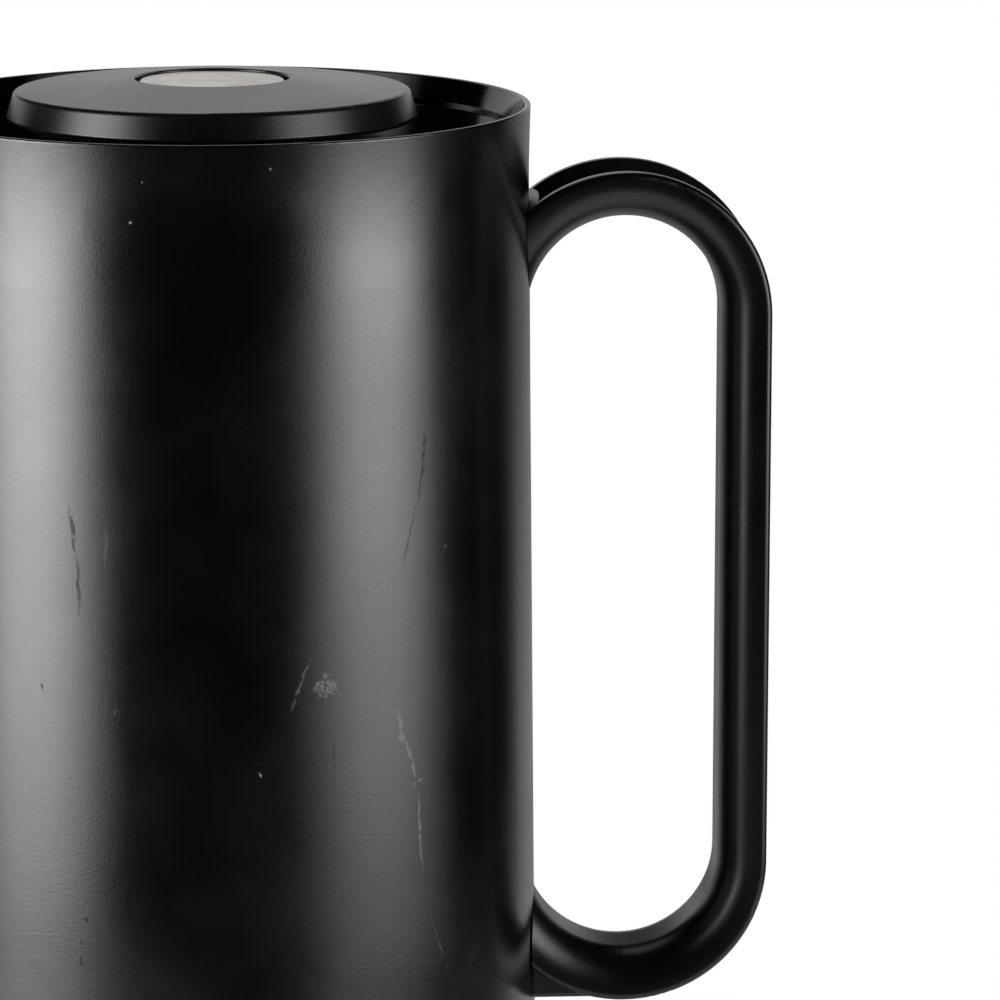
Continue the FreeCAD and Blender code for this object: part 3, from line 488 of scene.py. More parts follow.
@dataclass(frozen=True)
class MouldedPlastic:
    """Moulded plastic with a fine satin grain, soft smudges, dust and placed marks.

    Attributes:
        name: name of the material.
        colour: colour of the clean plastic.
        haze: colour of rubbed and dusty places.
        roughness: roughness of the clean plastic.
        spread: how far the smudges change the roughness.
        specular: strength of the reflection.
        grain: size of the grain in metres.
        depth: depth of the grain in metres.
        dust: share of the surface with specks of dust.
        film: share of the haze in the smudges.
        turn: how the wall turns towards its upper edge, if it does.
        marks: marks that are placed one by one.
    """

    name: str
    colour: Colour
    haze: Colour
    roughness: float
    spread: float
    specular: float = 0.5
    grain: float = 0.0003
    depth: float = 0.000004
    dust: float = 0.0
    film: float = 0.03
    turn: EdgeTurn | None = None
    marks: tuple[Mark, ...] = ()

    smudge: Layer = (38.0, 5.0, 0.6)
    film_range: Range = (0.4, 0.8)
    fine_share: float = 0.5
    pale_roughness: float = 0.25
    dark_roughness: float = 0.75
    dust_cells: float = 420.0
    dust_edge: Range = (0.05, 0.1)
    dust_patch: Layer = (190.0, 1.0, 0.5)
    dust_range: Range = (0.52, 0.66)

    def make(self) -> bpy.types.Material:
        """Build the node material.

        Returns:
            The material.
        """
        graph = MaterialGraph(self.name)
        place = graph.place()
        smudge = graph.noise(place, *self.smudge)
        grain = graph.noise(place, 1.0 / self.grain)
        worn = graph.span(smudge, *self.film_range, 0.0, self.film)
        if self.dust:
            worn = graph.math("ADD", worn, self.specks(graph, place), clamp=True)
        dull: object = 0.0
        sheet = MarkSheet(graph, place) if self.marks else None
        for mark in self.marks:
            if mark.kind.dark:
                dull = graph.math("MAXIMUM", dull, sheet.draw(mark))
            else:
                worn = graph.math("MAXIMUM", worn, sheet.draw(mark))
        fine_spread = self.fine_share * self.spread
        rub = graph.span(smudge, *NOISE_MIDDLE, -self.spread, self.spread)
        fine = graph.span(grain, *NOISE_MIDDLE, -fine_spread, fine_spread)
        rough = graph.math("MULTIPLY_ADD", worn, self.pale_roughness, self.roughness)
        rough = graph.math("ADD", graph.math("ADD", rub, fine), rough)
        if self.marks:
            rough = graph.math("MULTIPLY_ADD", dull, self.dark_roughness, rough)
        normal = graph.bump(grain, self.depth)
        if self.turn:
            outside = self.turn.outside(graph, place)
            normal = graph.bump(self.turn.height(graph, place, outside), self.turn.out, under=normal)
            polish = graph.math("MULTIPLY_ADD", outside, self.turn.polish, -self.turn.polish)
            rough = graph.math("ADD", rough, polish)
        return graph.surface(
            Base_Color=graph.blend(worn, self.colour, self.haze),
            Roughness=rough,
            Specular_IOR_Level=self.specular,
            Normal=normal,
        )

    def specks(self, graph: Graph, place: Socket) -> Socket:
        """Sparse specks of dust.

        Args:
            graph: the material's nodes.
            place: coordinates.

        Returns:
            A mask of the specks.
        """
        cells = graph.node("ShaderNodeTexVoronoi")
        graph.feed(cells.inputs["Vector"], place)
        cells.inputs["Scale"].default_value = self.dust_cells
        dot = graph.span(cells.outputs["Distance"], *self.dust_edge, 1.0, 0.0)
        dusty = graph.span(graph.noise(place, *self.dust_patch), *self.dust_range, 0.0, self.dust)
        return graph.math("MULTIPLY", dot, dusty)


@dataclass(frozen=True)
class SpunSteel:
    """Sheet steel that was turned and then touched: faint rings and warm patches.

    Attributes:
        name: name of the material.
        colour: colour of the clean metal.
        stain: colour of the patches.
        roughness: roughness of the clean metal.
        ring: distance between the turning marks in metres.
    """

    name: str
    colour: Colour
    stain: Colour
    roughness: float
    ring: float = 0.00025

    ring_wander: float = 0.02
    ring_detail: float = 3.0
    ring_roughness: float = 0.05
    ring_depth: float = 0.000002
    patch: Layer = (150.0, 4.0, 0.65)
    stain_range: Range = (0.45, 0.68)
    stain_share: float = 0.8
    touched_range: Range = (0.4, 0.7)
    touched_roughness: float = 0.12

    def make(self) -> bpy.types.Material:
        """Build the node material.

        Returns:
            The material.
        """
        graph = MaterialGraph(self.name)
        place = graph.place()
        x, y, z = graph.split(place)
        turned = graph.join(graph.from_axis(x, y), graph.math("MULTIPLY", x, self.ring_wander), z)
        rings = graph.noise(turned, 1.0 / self.ring, self.ring_detail)
        patch = graph.noise(place, *self.patch)
        stained = graph.span(patch, *self.stain_range, 0.0, self.stain_share)
        matt = self.roughness + self.touched_roughness
        touched = graph.span(patch, *self.touched_range, self.roughness, matt)
        lines = graph.span(rings, *NOISE_MIDDLE, -self.ring_roughness, self.ring_roughness)
        return graph.surface(
            Base_Color=graph.blend(stained, self.colour, self.stain),
            Metallic=1.0,
            Roughness=graph.math("ADD", lines, touched),
            Normal=graph.bump(rings, self.ring_depth),
        )


@dataclass(frozen=True)
class DrawnSteel:
    """Plain screw and wire steel with fine drawing lines and a little tarnish.

    Attributes:
        name: name of the material.
        colour: colour of the clean metal.
        roughness: roughness of the clean metal.
    """

    name: str
    colour: Colour
    roughness: float

    line_stretch: Triple = (1.0, 1.0, 0.15)
    line: Layer = (2600.0, 3.0, 0.5)
    line_roughness: Range = (-0.06, 0.1)
    line_depth: float = 0.000003
    tarnish: Layer = (240.0, 4.0, 0.5)
    tarnish_range: Range = (0.45, 0.75)
    tarnish_share: float = 0.7
    tarnish_shade: float = 0.6

    def make(self) -> bpy.types.Material:
        """Build the node material.

        Returns:
            The material.
        """
        graph = MaterialGraph(self.name)
        place = graph.place()
        lines = graph.noise(graph.stretch(place, self.line_stretch), *self.line)
        tarnish = graph.noise(place, *self.tarnish)
        tarnished = graph.span(tarnish, *self.tarnish_range, 0.0, self.tarnish_share)
        dull = tuple(self.tarnish_shade * c for c in self.colour)
        rough = (self.roughness + change for change in self.line_roughness)
        return graph.surface(
            Base_Color=graph.blend(tarnished, self.colour, dull),
            Metallic=1.0,
            Roughness=graph.span(lines, *NOISE_MIDDLE, *rough),
            Normal=graph.bump(lines, self.line_depth),
        )


@dataclass(frozen=True)
class SilveredGlass:
    """Glass that is silvered behind: a bright clear skin with slight waves and thin spots.

    Attributes:
        name: name of the material.
        colour: colour of the silver.
        thin: colour where the silver is thin.
    """

    name: str
    colour: Colour
    thin: Colour

    wave: Layer = (30.0, 2.0, 0.5)
    wave_depth: float = 0.0004
    spot: Layer = (110.0, 5.0, 0.6)
    thin_range: Range = (0.52, 0.8)
    thin_share: float = 0.7
    rough_range: Range = (0.4, 0.8)
    roughness: Range = (0.05, 0.16)
    metal: float = 0.95
    skin: float = 0.6

    def make(self) -> bpy.types.Material:
        """Build the node material.

        Returns:
            The material.
        """
        graph = MaterialGraph(self.name)
        place = graph.place()
        waves = graph.noise(place, *self.wave)
        spots = graph.noise(place, *self.spot)
        thinned = graph.span(spots, *self.thin_range, 0.0, self.thin_share)
        return graph.surface(
            Base_Color=graph.blend(thinned, self.colour, self.thin),
            Metallic=self.metal,
            Roughness=graph.span(spots, *self.rough_range, *self.roughness),
            Coat_Weight=self.skin,
            Normal=graph.bump(waves, self.wave_depth),
        )


@dataclass(frozen=True)
class SoftRubber:
    """Moulded rubber or silicone with a matt skin.

    Attributes:
        name: name of the material.
        colour: colour of the clean rubber.
        bloom: colour of the pale film on it.
        roughness: roughness of the skin.
        rings: distance between moulded rings in metres, or 0 for none.
    """

    name: str
    colour: Colour
    bloom: Colour
    roughness: float
    rings: float = 0.0

    film: Layer = (85.0, 4.0, 0.6)
    film_range: Range = (0.4, 0.75)
    film_share: float = 0.5
    skin: Layer = (1900.0, 3.0, 0.5)
    skin_depth: float = 0.000008
    skin_roughness: float = 0.08
    ring_edge_shares: Range = (0.1, 0.2)
    ring_depth: float = 0.0003
    specular: float = 0.35

    def make(self) -> bpy.types.Material:
        """Build the node material.

        Returns:
            The material.
        """
        graph = MaterialGraph(self.name)
        place = graph.place()
        film = graph.noise(place, *self.film)
        skin = graph.noise(place, *self.skin)
        normal = graph.bump(skin, self.skin_depth)
        if self.rings:
            x, y, _ = graph.split(place)
            ring = graph.math("PINGPONG", graph.from_axis(x, y), 0.5 * self.rings)
            edge = (share * self.rings for share in self.ring_edge_shares)
            normal = graph.bump(graph.span(ring, *edge, 0.0, 1.0), self.ring_depth, under=normal)
        filmed = graph.span(film, *self.film_range, 0.0, self.film_share)
        smooth, rough = self.roughness - self.skin_roughness, self.roughness + self.skin_roughness
        return graph.surface(
            Base_Color=graph.blend(filmed, self.colour, self.bloom),
            Roughness=graph.span(skin, *NOISE_MIDDLE, smooth, rough),
            Specular_IOR_Level=self.specular,
            Normal=normal,
        )


@dataclass(frozen=True)
class PressedFibre:
    """Pressed mineral fibre, pale and dusty.

    Attributes:
        name: name of the material.
        colour: colour of the fibre.
        shade: colour between the fibres.
    """

    name: str
    colour: Colour
    shade: Colour

    strand_stretch: Triple = (1.0, 0.25, 1.6)
    strand: Layer = (1700.0, 4.0, 0.7)
    strand_range: Range = (0.35, 0.65)
    strand_depth: float = 0.00006
    roughness: Range = (0.82, 0.95)

    def make(self) -> bpy.types.Material:
        """Build the node material.

        Returns:
            The material.
        """
        graph = MaterialGraph(self.name)
        strands = graph.noise(graph.stretch(graph.place(), self.strand_stretch), *self.strand)
        shown = graph.span(strands, *self.strand_range, 0.0, 1.0)
        return graph.surface(
            Base_Color=graph.blend(shown, self.shade, self.colour),
            Roughness=graph.span(strands, *NOISE_MIDDLE, *self.roughness),
            Normal=graph.bump(strands, self.strand_depth),
        )


SHELL_MARKS = (
    Mark(Wear.SCUFF, 18.5, 0.2118, 0.0052, 0.0036, 75.0, 0.6),
    Mark(Wear.SCRATCH, 14.2, 0.2124, 0.0115, 0.0006, 21.0, 0.32),
    Mark(Wear.SCRATCH, 33.0, 0.2042, 0.0060, 0.0008, -7.0, 0.5),
    Mark(Wear.SCRATCH, 33.4, 0.2016, 0.0020, 0.0012, 20.0, 0.5),
    Mark(Wear.SCRATCH, 35.3, 0.1977, 0.0096, 0.0008, -18.7, 0.5),
    Mark(Wear.SCRATCH, 36.8, 0.1936, 0.0030, 0.0004, 71.0, 0.9),
    Mark(Wear.SCRATCH, 37.3, 0.1853, 0.0165, 0.0007, -3.0, 0.45),
    Mark(Wear.SCRATCH, 41.9, 0.1645, 0.0154, 0.0003, -21.0, 0.2),
    Mark(Wear.STREAK, -25.7, 0.2371, 0.0108, 0.0009, -9.3, 0.55),
    Mark(Wear.STREAK, -24.75, 0.2285, 0.0116, 0.0008, -1.7, 0.5),
    Mark(Wear.STREAK, -19.45, 0.2349, 0.0080, 0.0006, 0.0, 0.3),
    Mark(Wear.STREAK, 38.6, 0.2469, 0.0180, 0.0009, 7.0, 0.6),
    Mark(Wear.STREAK, 35.5, 0.2349, 0.0130, 0.0006, 16.0, 0.35),
    Mark(Wear.STREAK, 19.95, 0.1994, 0.0100, 0.0007, 0.0, 0.55),
    Mark(Wear.SPECK, -14.37, 0.2876, 0.0006, 0.0005, 0.0, 0.9),
    Mark(Wear.SPECK, -12.17, 0.2941, 0.0004, 0.0004, 0.0, 0.8),
    Mark(Wear.SPECK, 9.74, 0.2961, 0.0005, 0.0005, 0.0, 0.9),
    Mark(Wear.SPECK, 6.86, 0.1978, 0.0011, 0.0005, -20.0, 1.0),
    Mark(Wear.SPECK, 71.77, 0.2111, 0.0005, 0.0006, 0.0, 0.8),
    Mark(Wear.SPECK, 31.59, 0.2270, 0.0005, 0.0005, 0.0, 0.9),
    Mark(Wear.SPECK, 35.95, 0.2822, 0.0005, 0.0005, 0.0, 0.9),
    Mark(Wear.NICK, -24.12, 0.1728, 0.0014, 0.0010, 0.0, 0.9),
    Mark(Wear.NICK, -25.14, 0.1690, 0.0016, 0.0008, 0.0, 0.9),
    Mark(Wear.NICK, -25.19, 0.1658, 0.0030, 0.0008, 0.0, 0.9),
    Mark(Wear.NICK, -23.36, 0.1607, 0.0014, 0.0010, 0.0, 0.8),
    Mark(Wear.NICK, -18.21, 0.2080, 0.0009, 0.0007, 0.0, 0.8),
    Mark(Wear.NICK, -32.21, 0.2110, 0.0016, 0.0005, -10.0, 0.7),
    Mark(Wear.NICK, 43.8, 0.2320, 0.0011, 0.0007, 15.0, 0.8),
)

SHELL_BLACK = MouldedPlastic(
    "shell_satin_black", (0.0003, 0.0003, 0.0003), (0.2, 0.2, 0.2), 0.23, 0.035,
    specular=0.85, grain=0.0004, depth=0.000014, film=0.002,
    turn=EdgeTurn(0.28, 0.3, 0.0527, 0.00133, 0.14), marks=SHELL_MARKS,
)
LID_BLACK = MouldedPlastic(
    "lid_satin_black", (0.003, 0.003, 0.0032), (0.1, 0.1, 0.1), 0.28, 0.03, specular=0.9, dust=0.5,
)
HANDLE_BLACK = MouldedPlastic(
    "handle_satin_black", (0.0008, 0.0008, 0.0008), (0.07, 0.07, 0.07), 0.3, 0.03,
    specular=0.55, film=0.004,
)
FUNNEL_BLACK = MouldedPlastic(
    "funnel_gloss_black", (0.001, 0.001, 0.0011), (0.06, 0.06, 0.06), 0.12, 0.02,
    specular=0.7, film=0.006,
)
INNER_BLACK = MouldedPlastic("inner_black", (0.004, 0.004, 0.0042), (0.05, 0.05, 0.05), 0.34, 0.05)
GREY_PLASTIC = MouldedPlastic("plain_grey_plastic", (0.3, 0.3, 0.31), (0.42, 0.42, 0.42), 0.42, 0.05)
BUTTON_STEEL = SpunSteel("button_spun_steel", (0.68, 0.65, 0.6), (0.64, 0.54, 0.48), 0.22)
PLAIN_STEEL = DrawnSteel("plain_drawn_steel", (0.62, 0.62, 0.62), 0.28)
FLASK_SILVER = SilveredGlass("silvered_glass", (0.86, 0.88, 0.89), (0.62, 0.63, 0.62))
PALE_SILICONE = SoftRubber("pale_silicone", (0.66, 0.64, 0.6), (0.78, 0.76, 0.72), 0.5)
DARK_RUBBER = SoftRubber("dark_rubber", (0.02, 0.02, 0.021), (0.06, 0.06, 0.06), 0.68)
PAD_RUBBER = SoftRubber("pad_ringed_rubber", (0.02, 0.02, 0.021), (0.06, 0.06, 0.06), 0.7, rings=0.004)
SPACER_FIBRE = PressedFibre("spacer_fibre", (0.76, 0.74, 0.68), (0.48, 0.46, 0.4))


class Wardrobe:
    """Makes each finish once and puts it on nodes and pieces."""

    def __init__(self) -> None:
        """Start with no materials made."""
        self.made: dict[str, bpy.types.Material] = {}

    def material(self, finish: Finish) -> bpy.types.Material:
        """The material of a finish, made at its first use.

        Args:
            finish: the finish.

        Returns:
            The material.
        """
        if finish.name not in self.made:
            self.made[finish.name] = finish.make()
        return self.made[finish.name]

    def dress_node(self, node: str, finish: Finish) -> None:
        """Give a CAD node its finish.

        Args:
            node: name of the node.
            finish: its finish.
        """
        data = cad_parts[node].data
        if not data.materials:
            data.materials.append(None)
        for i in range(len(data.materials)):
            data.materials[i] = self.material(finish)
        LOG.info("dressed %s in %s", node, finish.name)

    def dress_piece(self, piece: bpy.types.Object, finish: Finish, slot: str) -> None:
        """Give a new piece its finish.

        Args:
            piece: the piece.
            finish: its finish.
            slot: not used.
        """
        piece.data.materials.append(self.material(finish))
        LOG.info("dressed %s in %s", piece.name, finish.name)


def new_piece(name: str, shape: bmesh.types.BMesh) -> bpy.types.Object:
    """Turn a finished shape into an object of the scene.

    Args:
        name: name of the object.
        shape: the shape, in the row frame. It is freed here.

    Returns:
        The object.
    """
    mesh = bpy.data.meshes.new(name)
    shape.to_mesh(mesh)
    shape.free()
    for face in mesh.polygons:
        face.use_smooth = True
    piece = bpy.data.objects.new(name, mesh)
    bpy.context.scene.collection.objects.link(piece)
    return piece


def swept_wire(
    line: Callable[[float], Vector], steps: int, radius: float, sides: int = 14,
) -> bmesh.types.BMesh:
    """Sweep a round wire along a line.

    Args:
        line: gives a point for a share of the way, from 0 to 1.
        steps: number of lengths along the wire.
        radius: radius of the wire.
        sides: number of sides of its section.

    Returns:
        A closed shape.
    """
    shape = bmesh.new()
    rings = []
    angles = [2.0 * math.pi * k / sides for k in range(sides)]
    for i in range(steps + 1):
        share = i / steps
        here = line(share)
        way = (line(min(share + 0.5 / steps, 1.0)) - line(max(share - 0.5 / steps, 0.0))).normalized()
        side = way.cross(Vector((0.0, 0.0, 1.0))).normalized()
        up = side.cross(way)
        points = [here + radius * (math.cos(a) * side + math.sin(a) * up) for a in angles]
        rings.append([shape.verts.new(point) for point in points])
    for ring, following in zip(rings, rings[1:]):
        for k in range(sides):
            after = (k + 1) % sides
            shape.faces.new((ring[k], ring[after], following[after], following[k]))
    shape.faces.new(rings[0][::-1])
    shape.faces.new(rings[-1])
    bmesh.ops.recalc_face_normals(shape, faces=shape.faces)
    return shape


@dataclass
class Assembly:
    """Nodes that are fixed to each other and dressed together.

    Attributes:
        wardrobe: makes the finishes and puts them on.
        body: the body that the nodes ride on.
        finishes: the finish of each node.
    """

    wardrobe: Wardrobe
    body: ClassVar[Body]
    finishes: ClassVar[dict[str, Finish]]

    def build(self) -> None:
        """Build pieces that take the place of plain nodes, if any."""

    def dress(self) -> None:
        """Give every node its finish."""
        for node, finish in self.finishes.items():
            self.wardrobe.dress_node(node, finish)
        LOG.info("dressed %d nodes on %s", len(self.finishes), self.body.value)


@dataclass
class CarafeBody(Assembly):
    """The shell with its collar, flask and base."""

    body: ClassVar[Body] = Body.CARAFE
    finishes: ClassVar[dict[str, Finish]] = {
        "outer_shell": SHELL_BLACK,
        "rim_funnel": FUNNEL_BLACK,
        "pour_collar": INNER_BLACK,
        "neck_gasket": PALE_SILICONE,
        "flask_outer_wall": FLASK_SILVER,
        "flask_inner_bottom": FLASK_SILVER,
        "flask_inner_wall": FLASK_SILVER,
        "flask_inner_neck": FLASK_SILVER,
        "flask_spacers": SPACER_FIBRE,
        "flask_cushion": DARK_RUBBER,
        "base_cap": INNER_BLACK,
        "base_screws": PLAIN_STEEL,
        "base_pad": PAD_RUBBER,
    }


@dataclass
class LoopHandle(Assembly):
    """The loop handle and what fixes it."""

    body: ClassVar[Body] = Body.CARAFE
    finishes: ClassVar[dict[str, Finish]] = {
        "handle": HANDLE_BLACK,
        "handle_backing_plate": PLAIN_STEEL,
        "handle_screws": PLAIN_STEEL,
    }


@dataclass
class Stopper(Assembly):
    """The lid disc with the barrel below it and the coil under the button.

    Attributes:
        coil_radius: radius of the coil, to the middle of the wire.
        wire_radius: radius of the wire.
        coil_low: height of the coil's fixed end.
        coil_high: height of its other end, with the button up.
        pressed: length of the coil with the button down.
        turns: number of turns.
        dead_turns: turns that lie flat at each end.
        dead_pitch: rise of a flat turn, in wire radii.
        end_gap: room left at each end.
        steps: number of lengths along the wire.
    """

    coil_radius: float = 7.0 * MM
    wire_radius: float = 0.45 * MM
    coil_low: float = 288.0 * MM
    coil_high: float = 299.4 * MM
    pressed: float = 6.4 * MM
    turns: float = 5.5
    dead_turns: float = 0.75
    dead_pitch: float = 2.05
    end_gap: float = 0.05 * MM
    steps: int = 330
    body: ClassVar[Body] = Body.STOPPER
    finishes: ClassVar[dict[str, Finish]] = {
        "lid_disc": LID_BLACK,
        "stopper_body": INNER_BLACK,
        "spring_housing": INNER_BLACK,
        "stem_bushing": GREY_PLASTIC,
        "stopper_seal": PALE_SILICONE,
        "ring_seal": DARK_RUBBER,
        "lid_screws": PLAIN_STEEL,
        "stem_guide": GREY_PLASTIC,
        "stem_wiper": PALE_SILICONE,
        "return_spring": PLAIN_STEEL,
    }

    def coil_point(self, share: float) -> Vector:
        """A point of the coil's centre line, flat at both ends.

        Args:
            share: share of the way along the wire.

        Returns:
            The point.
        """
        dead = self.dead_turns / self.turns
        rise = min(max((share - dead) / (1.0 - 2.0 * dead), 0.0), 1.0)
        lift = self.dead_pitch * self.wire_radius
        low = self.coil_low + self.wire_radius + self.end_gap
        high = self.coil_high - self.wire_radius - self.end_gap
        ends = min(share / dead, 1.0) + max((share - 1.0 + dead) / dead, 0.0)
        z = low + lift * self.dead_turns * ends + rise * (high - low - 2.0 * lift * self.dead_turns)
        angle = 2.0 * math.pi * self.turns * share
        return Vector((self.coil_radius * math.cos(angle), self.coil_radius * math.sin(angle), z))

    def build(self) -> None:
        """Wind the coil that takes the place of the plain one."""
        shape = swept_wire(self.coil_point, self.steps, self.wire_radius)
        coil = new_piece("return_spring_coil", shape)
        self.wardrobe.dress_piece(coil, PLAIN_STEEL, "screw_steel")
        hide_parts("return_spring")
        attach(coil, Body.STOPPER.value)
        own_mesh(coil)
        LOG.info("built %s", coil.name)


@dataclass
class PushButton(Assembly):
    """The button, its stem and the valve."""

    body: ClassVar[Body] = Body.BUTTON
    finishes: ClassVar[dict[str, Finish]] = {
        "button_cap": BUTTON_STEEL,
        "button_plunger": GREY_PLASTIC,
        "valve_stem": PLAIN_STEEL,
        "valve_plate": GREY_PLASTIC,
        "valve_seal": PALE_SILICONE,
        "stem_nuts": PLAIN_STEEL,
    }


@dataclass(frozen=True)
class SoftBox:
    """A tall light panel beside the carafe.

    Attributes:
        name: name of the panel.
        turn: degrees round the carafe from the camera, positive towards the handle.
        distance: metres from the axis.
        width: metres across the light at its brightest height.
        low: lower edge above the table.
        high: upper edge above the table.
        power: brightness at its brightest height.
        foot: brightness at its lower edge, as a share of the power.
        waist: brightest height, as a share of the panel's height.
        taper: how many times wider the light is at its foot.
        soft_side: where the light fades, as shares of the width from the middle.
    """

    name: str
    turn: float
    distance: float
    width: float
    low: float
    high: float
    power: float
    foot: float
    waist: float = 0.235
    taper: float = 1.3
    soft_side: Range = (0.05, 0.5)

    def glow(self) -> bpy.types.Material:
        """Light that fades to both sides, towards the floor and towards the top.

        Returns:
            The material.
        """
        graph = MaterialGraph(self.name + "_glow")
        x, y, _ = graph.split(graph.place("Generated"))
        rise = graph.math("MULTIPLY", y, 1.0 / self.waist, clamp=True)
        middle = graph.math("ABSOLUTE", graph.math("SUBTRACT", x, 0.5))
        middle = graph.math("MULTIPLY", middle, graph.math("MULTIPLY_ADD", rise, self.taper - 1.0, 1.0))
        sides = graph.span(middle, *self.soft_side, 1.0, 0.0)
        fall = graph.math("MULTIPLY_ADD", graph.math("MULTIPLY", rise, rise), 1.0 - self.foot, self.foot)
        top = graph.span(y, self.waist, 1.0, 1.0, 0.0)
        bright = graph.math("MULTIPLY", fall, self.power)
        return graph.shine(graph.math("MULTIPLY", graph.math("MULTIPLY", sides, top), bright))

    def build(self) -> bpy.types.Object:
        """Stand the panel beside the carafe.

        Returns:
            The panel.
        """
        shape = bmesh.new()
        bmesh.ops.create_grid(shape, x_segments=1, y_segments=1, size=0.5)
        panel = new_piece(self.name, shape)
        panel.data.materials.append(self.glow())
        turn = math.radians(self.turn)
        x, y = self.distance * math.sin(turn), -self.distance * math.cos(turn)
        centre = Vector((x, y, 0.5 * (self.low + self.high)))
        facing = Matrix.Rotation(turn, 4, "Z") @ Matrix.Rotation(math.radians(-90.0), 4, "X")
        size = Matrix.Diagonal((self.taper * self.width, self.low - self.high, 1.0, 1.0))
        panel.matrix_world = Matrix.Translation(centre) @ facing @ size
        panel.visible_camera = False
        panel.visible_shadow = False
        return panel


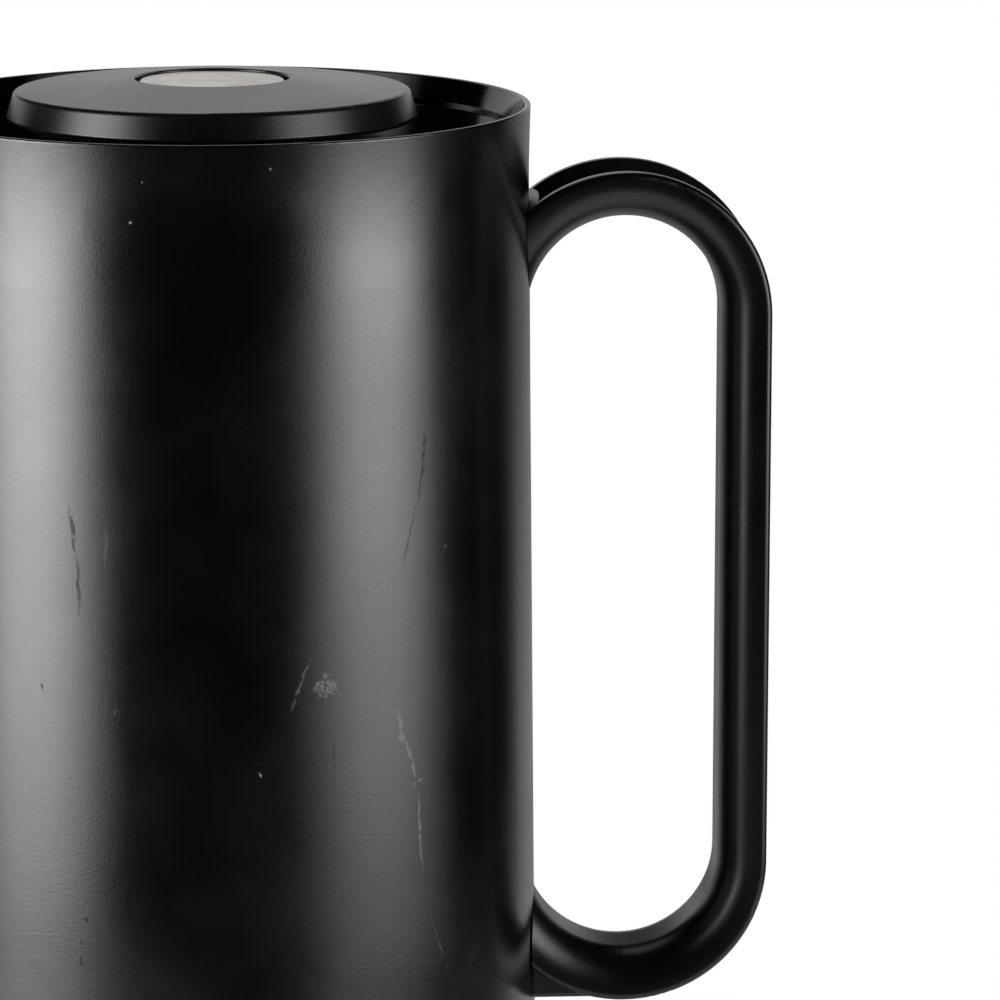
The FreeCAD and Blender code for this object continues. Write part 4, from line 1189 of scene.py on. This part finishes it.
@dataclass
class Studio:
    """Floor, light and camera.

    Attributes:
        floor_front: metres that the floor reaches in front of the carafe.
        floor_lip_side: metres that it reaches on the side of the lip.
        floor_handle_side: the same on the side of the handle.
        floor_handle_reach: its half width further back, on the side of the handle.
        floor_back: metres that it reaches behind the carafe.
        floor_side: its half width further back, and how far back that is.
        floor_steps: number of lengths along its round front edge.
        floor_colour: colour of the floor.
        floor_roughness: roughness of the floor.
        near: distance up to which the floor shows its own colour most.
        far: distance from which it is as white as the background.
        near_white: share of white up to the near distance.
        ambient: brightness of the room for soft light.
        gloom: brightness of the dark room in reflections.
        backdrop: brightness of the backdrop in reflections.
        backdrop_lip_edge: degrees over which the backdrop begins, on the side of the lip.
        backdrop_handle_edge: degrees over which it ends, on the side of the handle.
        backdrop_top: upward slope over which it ends.
        card_low: lower corner of the card behind the lid.
        card_size: width and height of that card.
        floor_edge: cosines from straight back over which the floor comes to shine in reflections.
        floor_turn: sines towards the handle over which that shine grows to its whole.
        floor_lip_share: share of that shine on the side of the lip.
        floor_mirror: brightness of that shine.
        lamp_size: length and width of the light above.
        lamp_power: power of the light above.
        lamp_place: place of the light above.
        lens: focal length in millimetres.
        sensor: width of the sensor in millimetres.
        clip: nearest and farthest distance that the camera sees.
        eye: place of the camera.
        pitch: degrees that the camera looks down.
        yaw: degrees that it looks towards the handle.
        boxes: the light panels.
    """

    floor_front: float = 0.4
    floor_lip_side: float = 0.62
    floor_handle_side: float = 0.44
    floor_handle_reach: float = 2.0
    floor_back: float = 3.8
    floor_side: float = 2.4
    floor_steps: int = 48
    floor_colour: Colour = (0.86, 0.86, 0.86)
    floor_roughness: float = 0.9
    near: float = 0.14
    far: float = 0.42
    near_white: float = 0.5
    ambient: float = 0.22
    gloom: float = 0.004
    backdrop: float = 0.62
    backdrop_lip_edge: Range = (-49.0, -46.0)
    backdrop_handle_edge: Range = (26.0, 52.0)
    backdrop_top: Range = (0.18, 0.25)
    card_low: Triple = (-0.07, 0.12, 0.288)
    card_size: Range = (0.16, 0.22)
    floor_edge: Range = (0.78, 1.0)
    floor_turn: Range = (-0.08, 0.16)
    floor_lip_share: float = 0.3
    floor_mirror: float = 0.38
    lamp_size: Range = (1.2, 0.9)
    lamp_power: float = 7.0
    lamp_place: Triple = (0.0, 0.1, 1.5)
    lens: float = 180.0
    sensor: float = 36.0
    clip: Range = (0.01, 50.0)
    eye: Triple = (0.0, -0.8347, 0.4053)
    pitch: float = 11.74
    yaw: float = 3.31
    boxes: Sequence[SoftBox] = (
        SoftBox("light_panel_lip_side", -67.0, 0.64, 0.72, 0.005, 0.8, 8.7, 0.5),
        SoftBox("light_panel_handle_side", 57.0, 0.64, 0.68, 0.005, 0.8, 5.4, 0.34),
    )

    def build(self) -> None:
        """Set up the whole studio."""
        self.world()
        self.floor()
        for box in self.boxes:
            box.build()
        self.card()
        self.overhead()
        self.camera()
        bpy.context.scene.view_settings.view_transform = "Standard"

    def world(self) -> None:
        """White for the camera, and for reflections a backdrop behind and a dark room in front."""
        world = bpy.data.worlds.new("studio")
        bpy.context.scene.world = world
        world.use_nodes = True
        graph = Graph(world.node_tree)
        x, y, z = graph.split(graph.place("Generated"))
        turn = graph.math("ARCTAN2", x, y)
        lip_side = graph.span(turn, *map(math.radians, self.backdrop_lip_edge), 0.0, self.backdrop)
        handle_side = graph.span(turn, *map(math.radians, self.backdrop_handle_edge), 1.0, 0.0)
        seen = graph.math("MULTIPLY", lip_side, handle_side)
        seen = graph.math("MULTIPLY", seen, graph.span(z, *self.backdrop_top, 1.0, 0.0))
        seen = graph.math("ADD", seen, self.gloom)
        camera, mirror = graph.rays()
        soft = graph.math("MULTIPLY", graph.math("SUBTRACT", 1.0, mirror), self.ambient)
        light = graph.math("ADD", graph.math("MULTIPLY", mirror, seen), soft)
        light = graph.math("MULTIPLY", light, graph.math("SUBTRACT", 1.0, camera))
        back = graph.tree.nodes["Background"]
        back.inputs["Color"].default_value = (1.0, 1.0, 1.0, 1.0)
        graph.feed(back.inputs["Strength"], graph.math("ADD", light, camera))

    def floor_paint(self) -> bpy.types.Material:
        """Pale floor that turns into the white background away from the carafe.

        Returns:
            The material.
        """
        graph = MaterialGraph("floor_white")
        x, y, _ = graph.split(graph.place())
        out = graph.from_axis(x, y)
        camera, mirror = graph.rays()
        behind = graph.span(graph.math("DIVIDE", y, out), *self.floor_edge, 0.0, 1.0)
        side = graph.span(graph.math("DIVIDE", x, out), *self.floor_turn, self.floor_lip_share, 1.0)
        behind = graph.math("MULTIPLY", behind, side)
        seen = graph.math("MAXIMUM", graph.math("MULTIPLY", mirror, behind), camera)
        share = graph.math("MULTIPLY", seen, graph.span(out, self.near, self.far, self.near_white, 1.0))
        graph.surface(
            Base_Color=self.floor_colour, Roughness=self.floor_roughness, Specular_IOR_Level=0.0,
        )
        white = graph.math("MULTIPLY_ADD", camera, 1.0 - self.floor_mirror, self.floor_mirror)
        mix = graph.node("ShaderNodeMixShader")
        for socket, value in zip(mix.inputs, (share, graph.shader.outputs[0], graph.glow(white))):
            graph.feed(socket, value)
        return graph.show(mix.outputs[0])

    def floor(self) -> None:
        """A sheet with a round front edge, far wider behind the carafe."""
        shape = bmesh.new()
        front = [math.pi + math.pi * i / self.floor_steps for i in range(self.floor_steps + 1)]
        sides = [self.floor_lip_side if math.cos(a) < 0.0 else self.floor_handle_side for a in front]
        corners = [(side * math.cos(a), self.floor_front * math.sin(a)) for a, side in zip(front, sides)]
        corners += [
            (self.floor_handle_side, self.floor_handle_side),
            (self.floor_handle_reach, self.floor_side),
            (self.floor_side, self.floor_back),
            (-self.floor_side, self.floor_back),
            (-self.floor_side, self.floor_side),
        ]
        shape.faces.new([shape.verts.new((x, y, 0.0)) for x, y in corners])
        floor = new_piece("floor", shape)
        floor.data.materials.append(self.floor_paint())

    def card(self) -> None:
        """A white card close behind the lid, for its reflection alone."""
        x, y, z = self.card_low
        wide, tall = self.card_size
        shape = bmesh.new()
        corners = ((x, y, z), (x + wide, y, z), (x + wide, y, z + tall), (x, y, z + tall))
        shape.faces.new([shape.verts.new(corner) for corner in corners])
        card = new_piece("lid_card", shape)
        card.data.materials.append(MaterialGraph("card_white").shine(self.backdrop))
        card.visible_camera = False
        card.visible_shadow = False
        card.visible_diffuse = False

    def overhead(self) -> None:
        """A wide soft light above the carafe."""
        lamp = bpy.data.lights.new("overhead_light", "AREA")
        lamp.shape = "RECTANGLE"
        lamp.size, lamp.size_y = self.lamp_size
        lamp.energy = self.lamp_power
        holder = bpy.data.objects.new("overhead_light", lamp)
        holder.location = self.lamp_place
        holder.visible_camera = False
        holder.visible_glossy = False
        bpy.context.scene.collection.objects.link(holder)

    def camera(self) -> None:
        """The camera at the photograph's viewing angle."""
        data = bpy.data.cameras.new("camera")
        data.lens = self.lens
        data.sensor_width = self.sensor
        data.clip_start, data.clip_end = self.clip
        holder = bpy.data.objects.new("camera", data)
        holder.location = self.eye
        holder.rotation_euler = (math.radians(90.0 - self.pitch), 0.0, math.radians(-self.yaw))
        bpy.context.scene.collection.objects.link(holder)
        bpy.context.scene.camera = holder


def main() -> None:
    """Build and dress every sub-assembly, then the studio."""
    logging.basicConfig(level=logging.INFO, format="%(name)s: %(message)s")
    wardrobe = Wardrobe()
    for kind in (CarafeBody, LoopHandle, Stopper, PushButton):
        assembly = kind(wardrobe)
        assembly.build()
        assembly.dress()
    Studio().build()


if __name__ == "__main__":
    main()
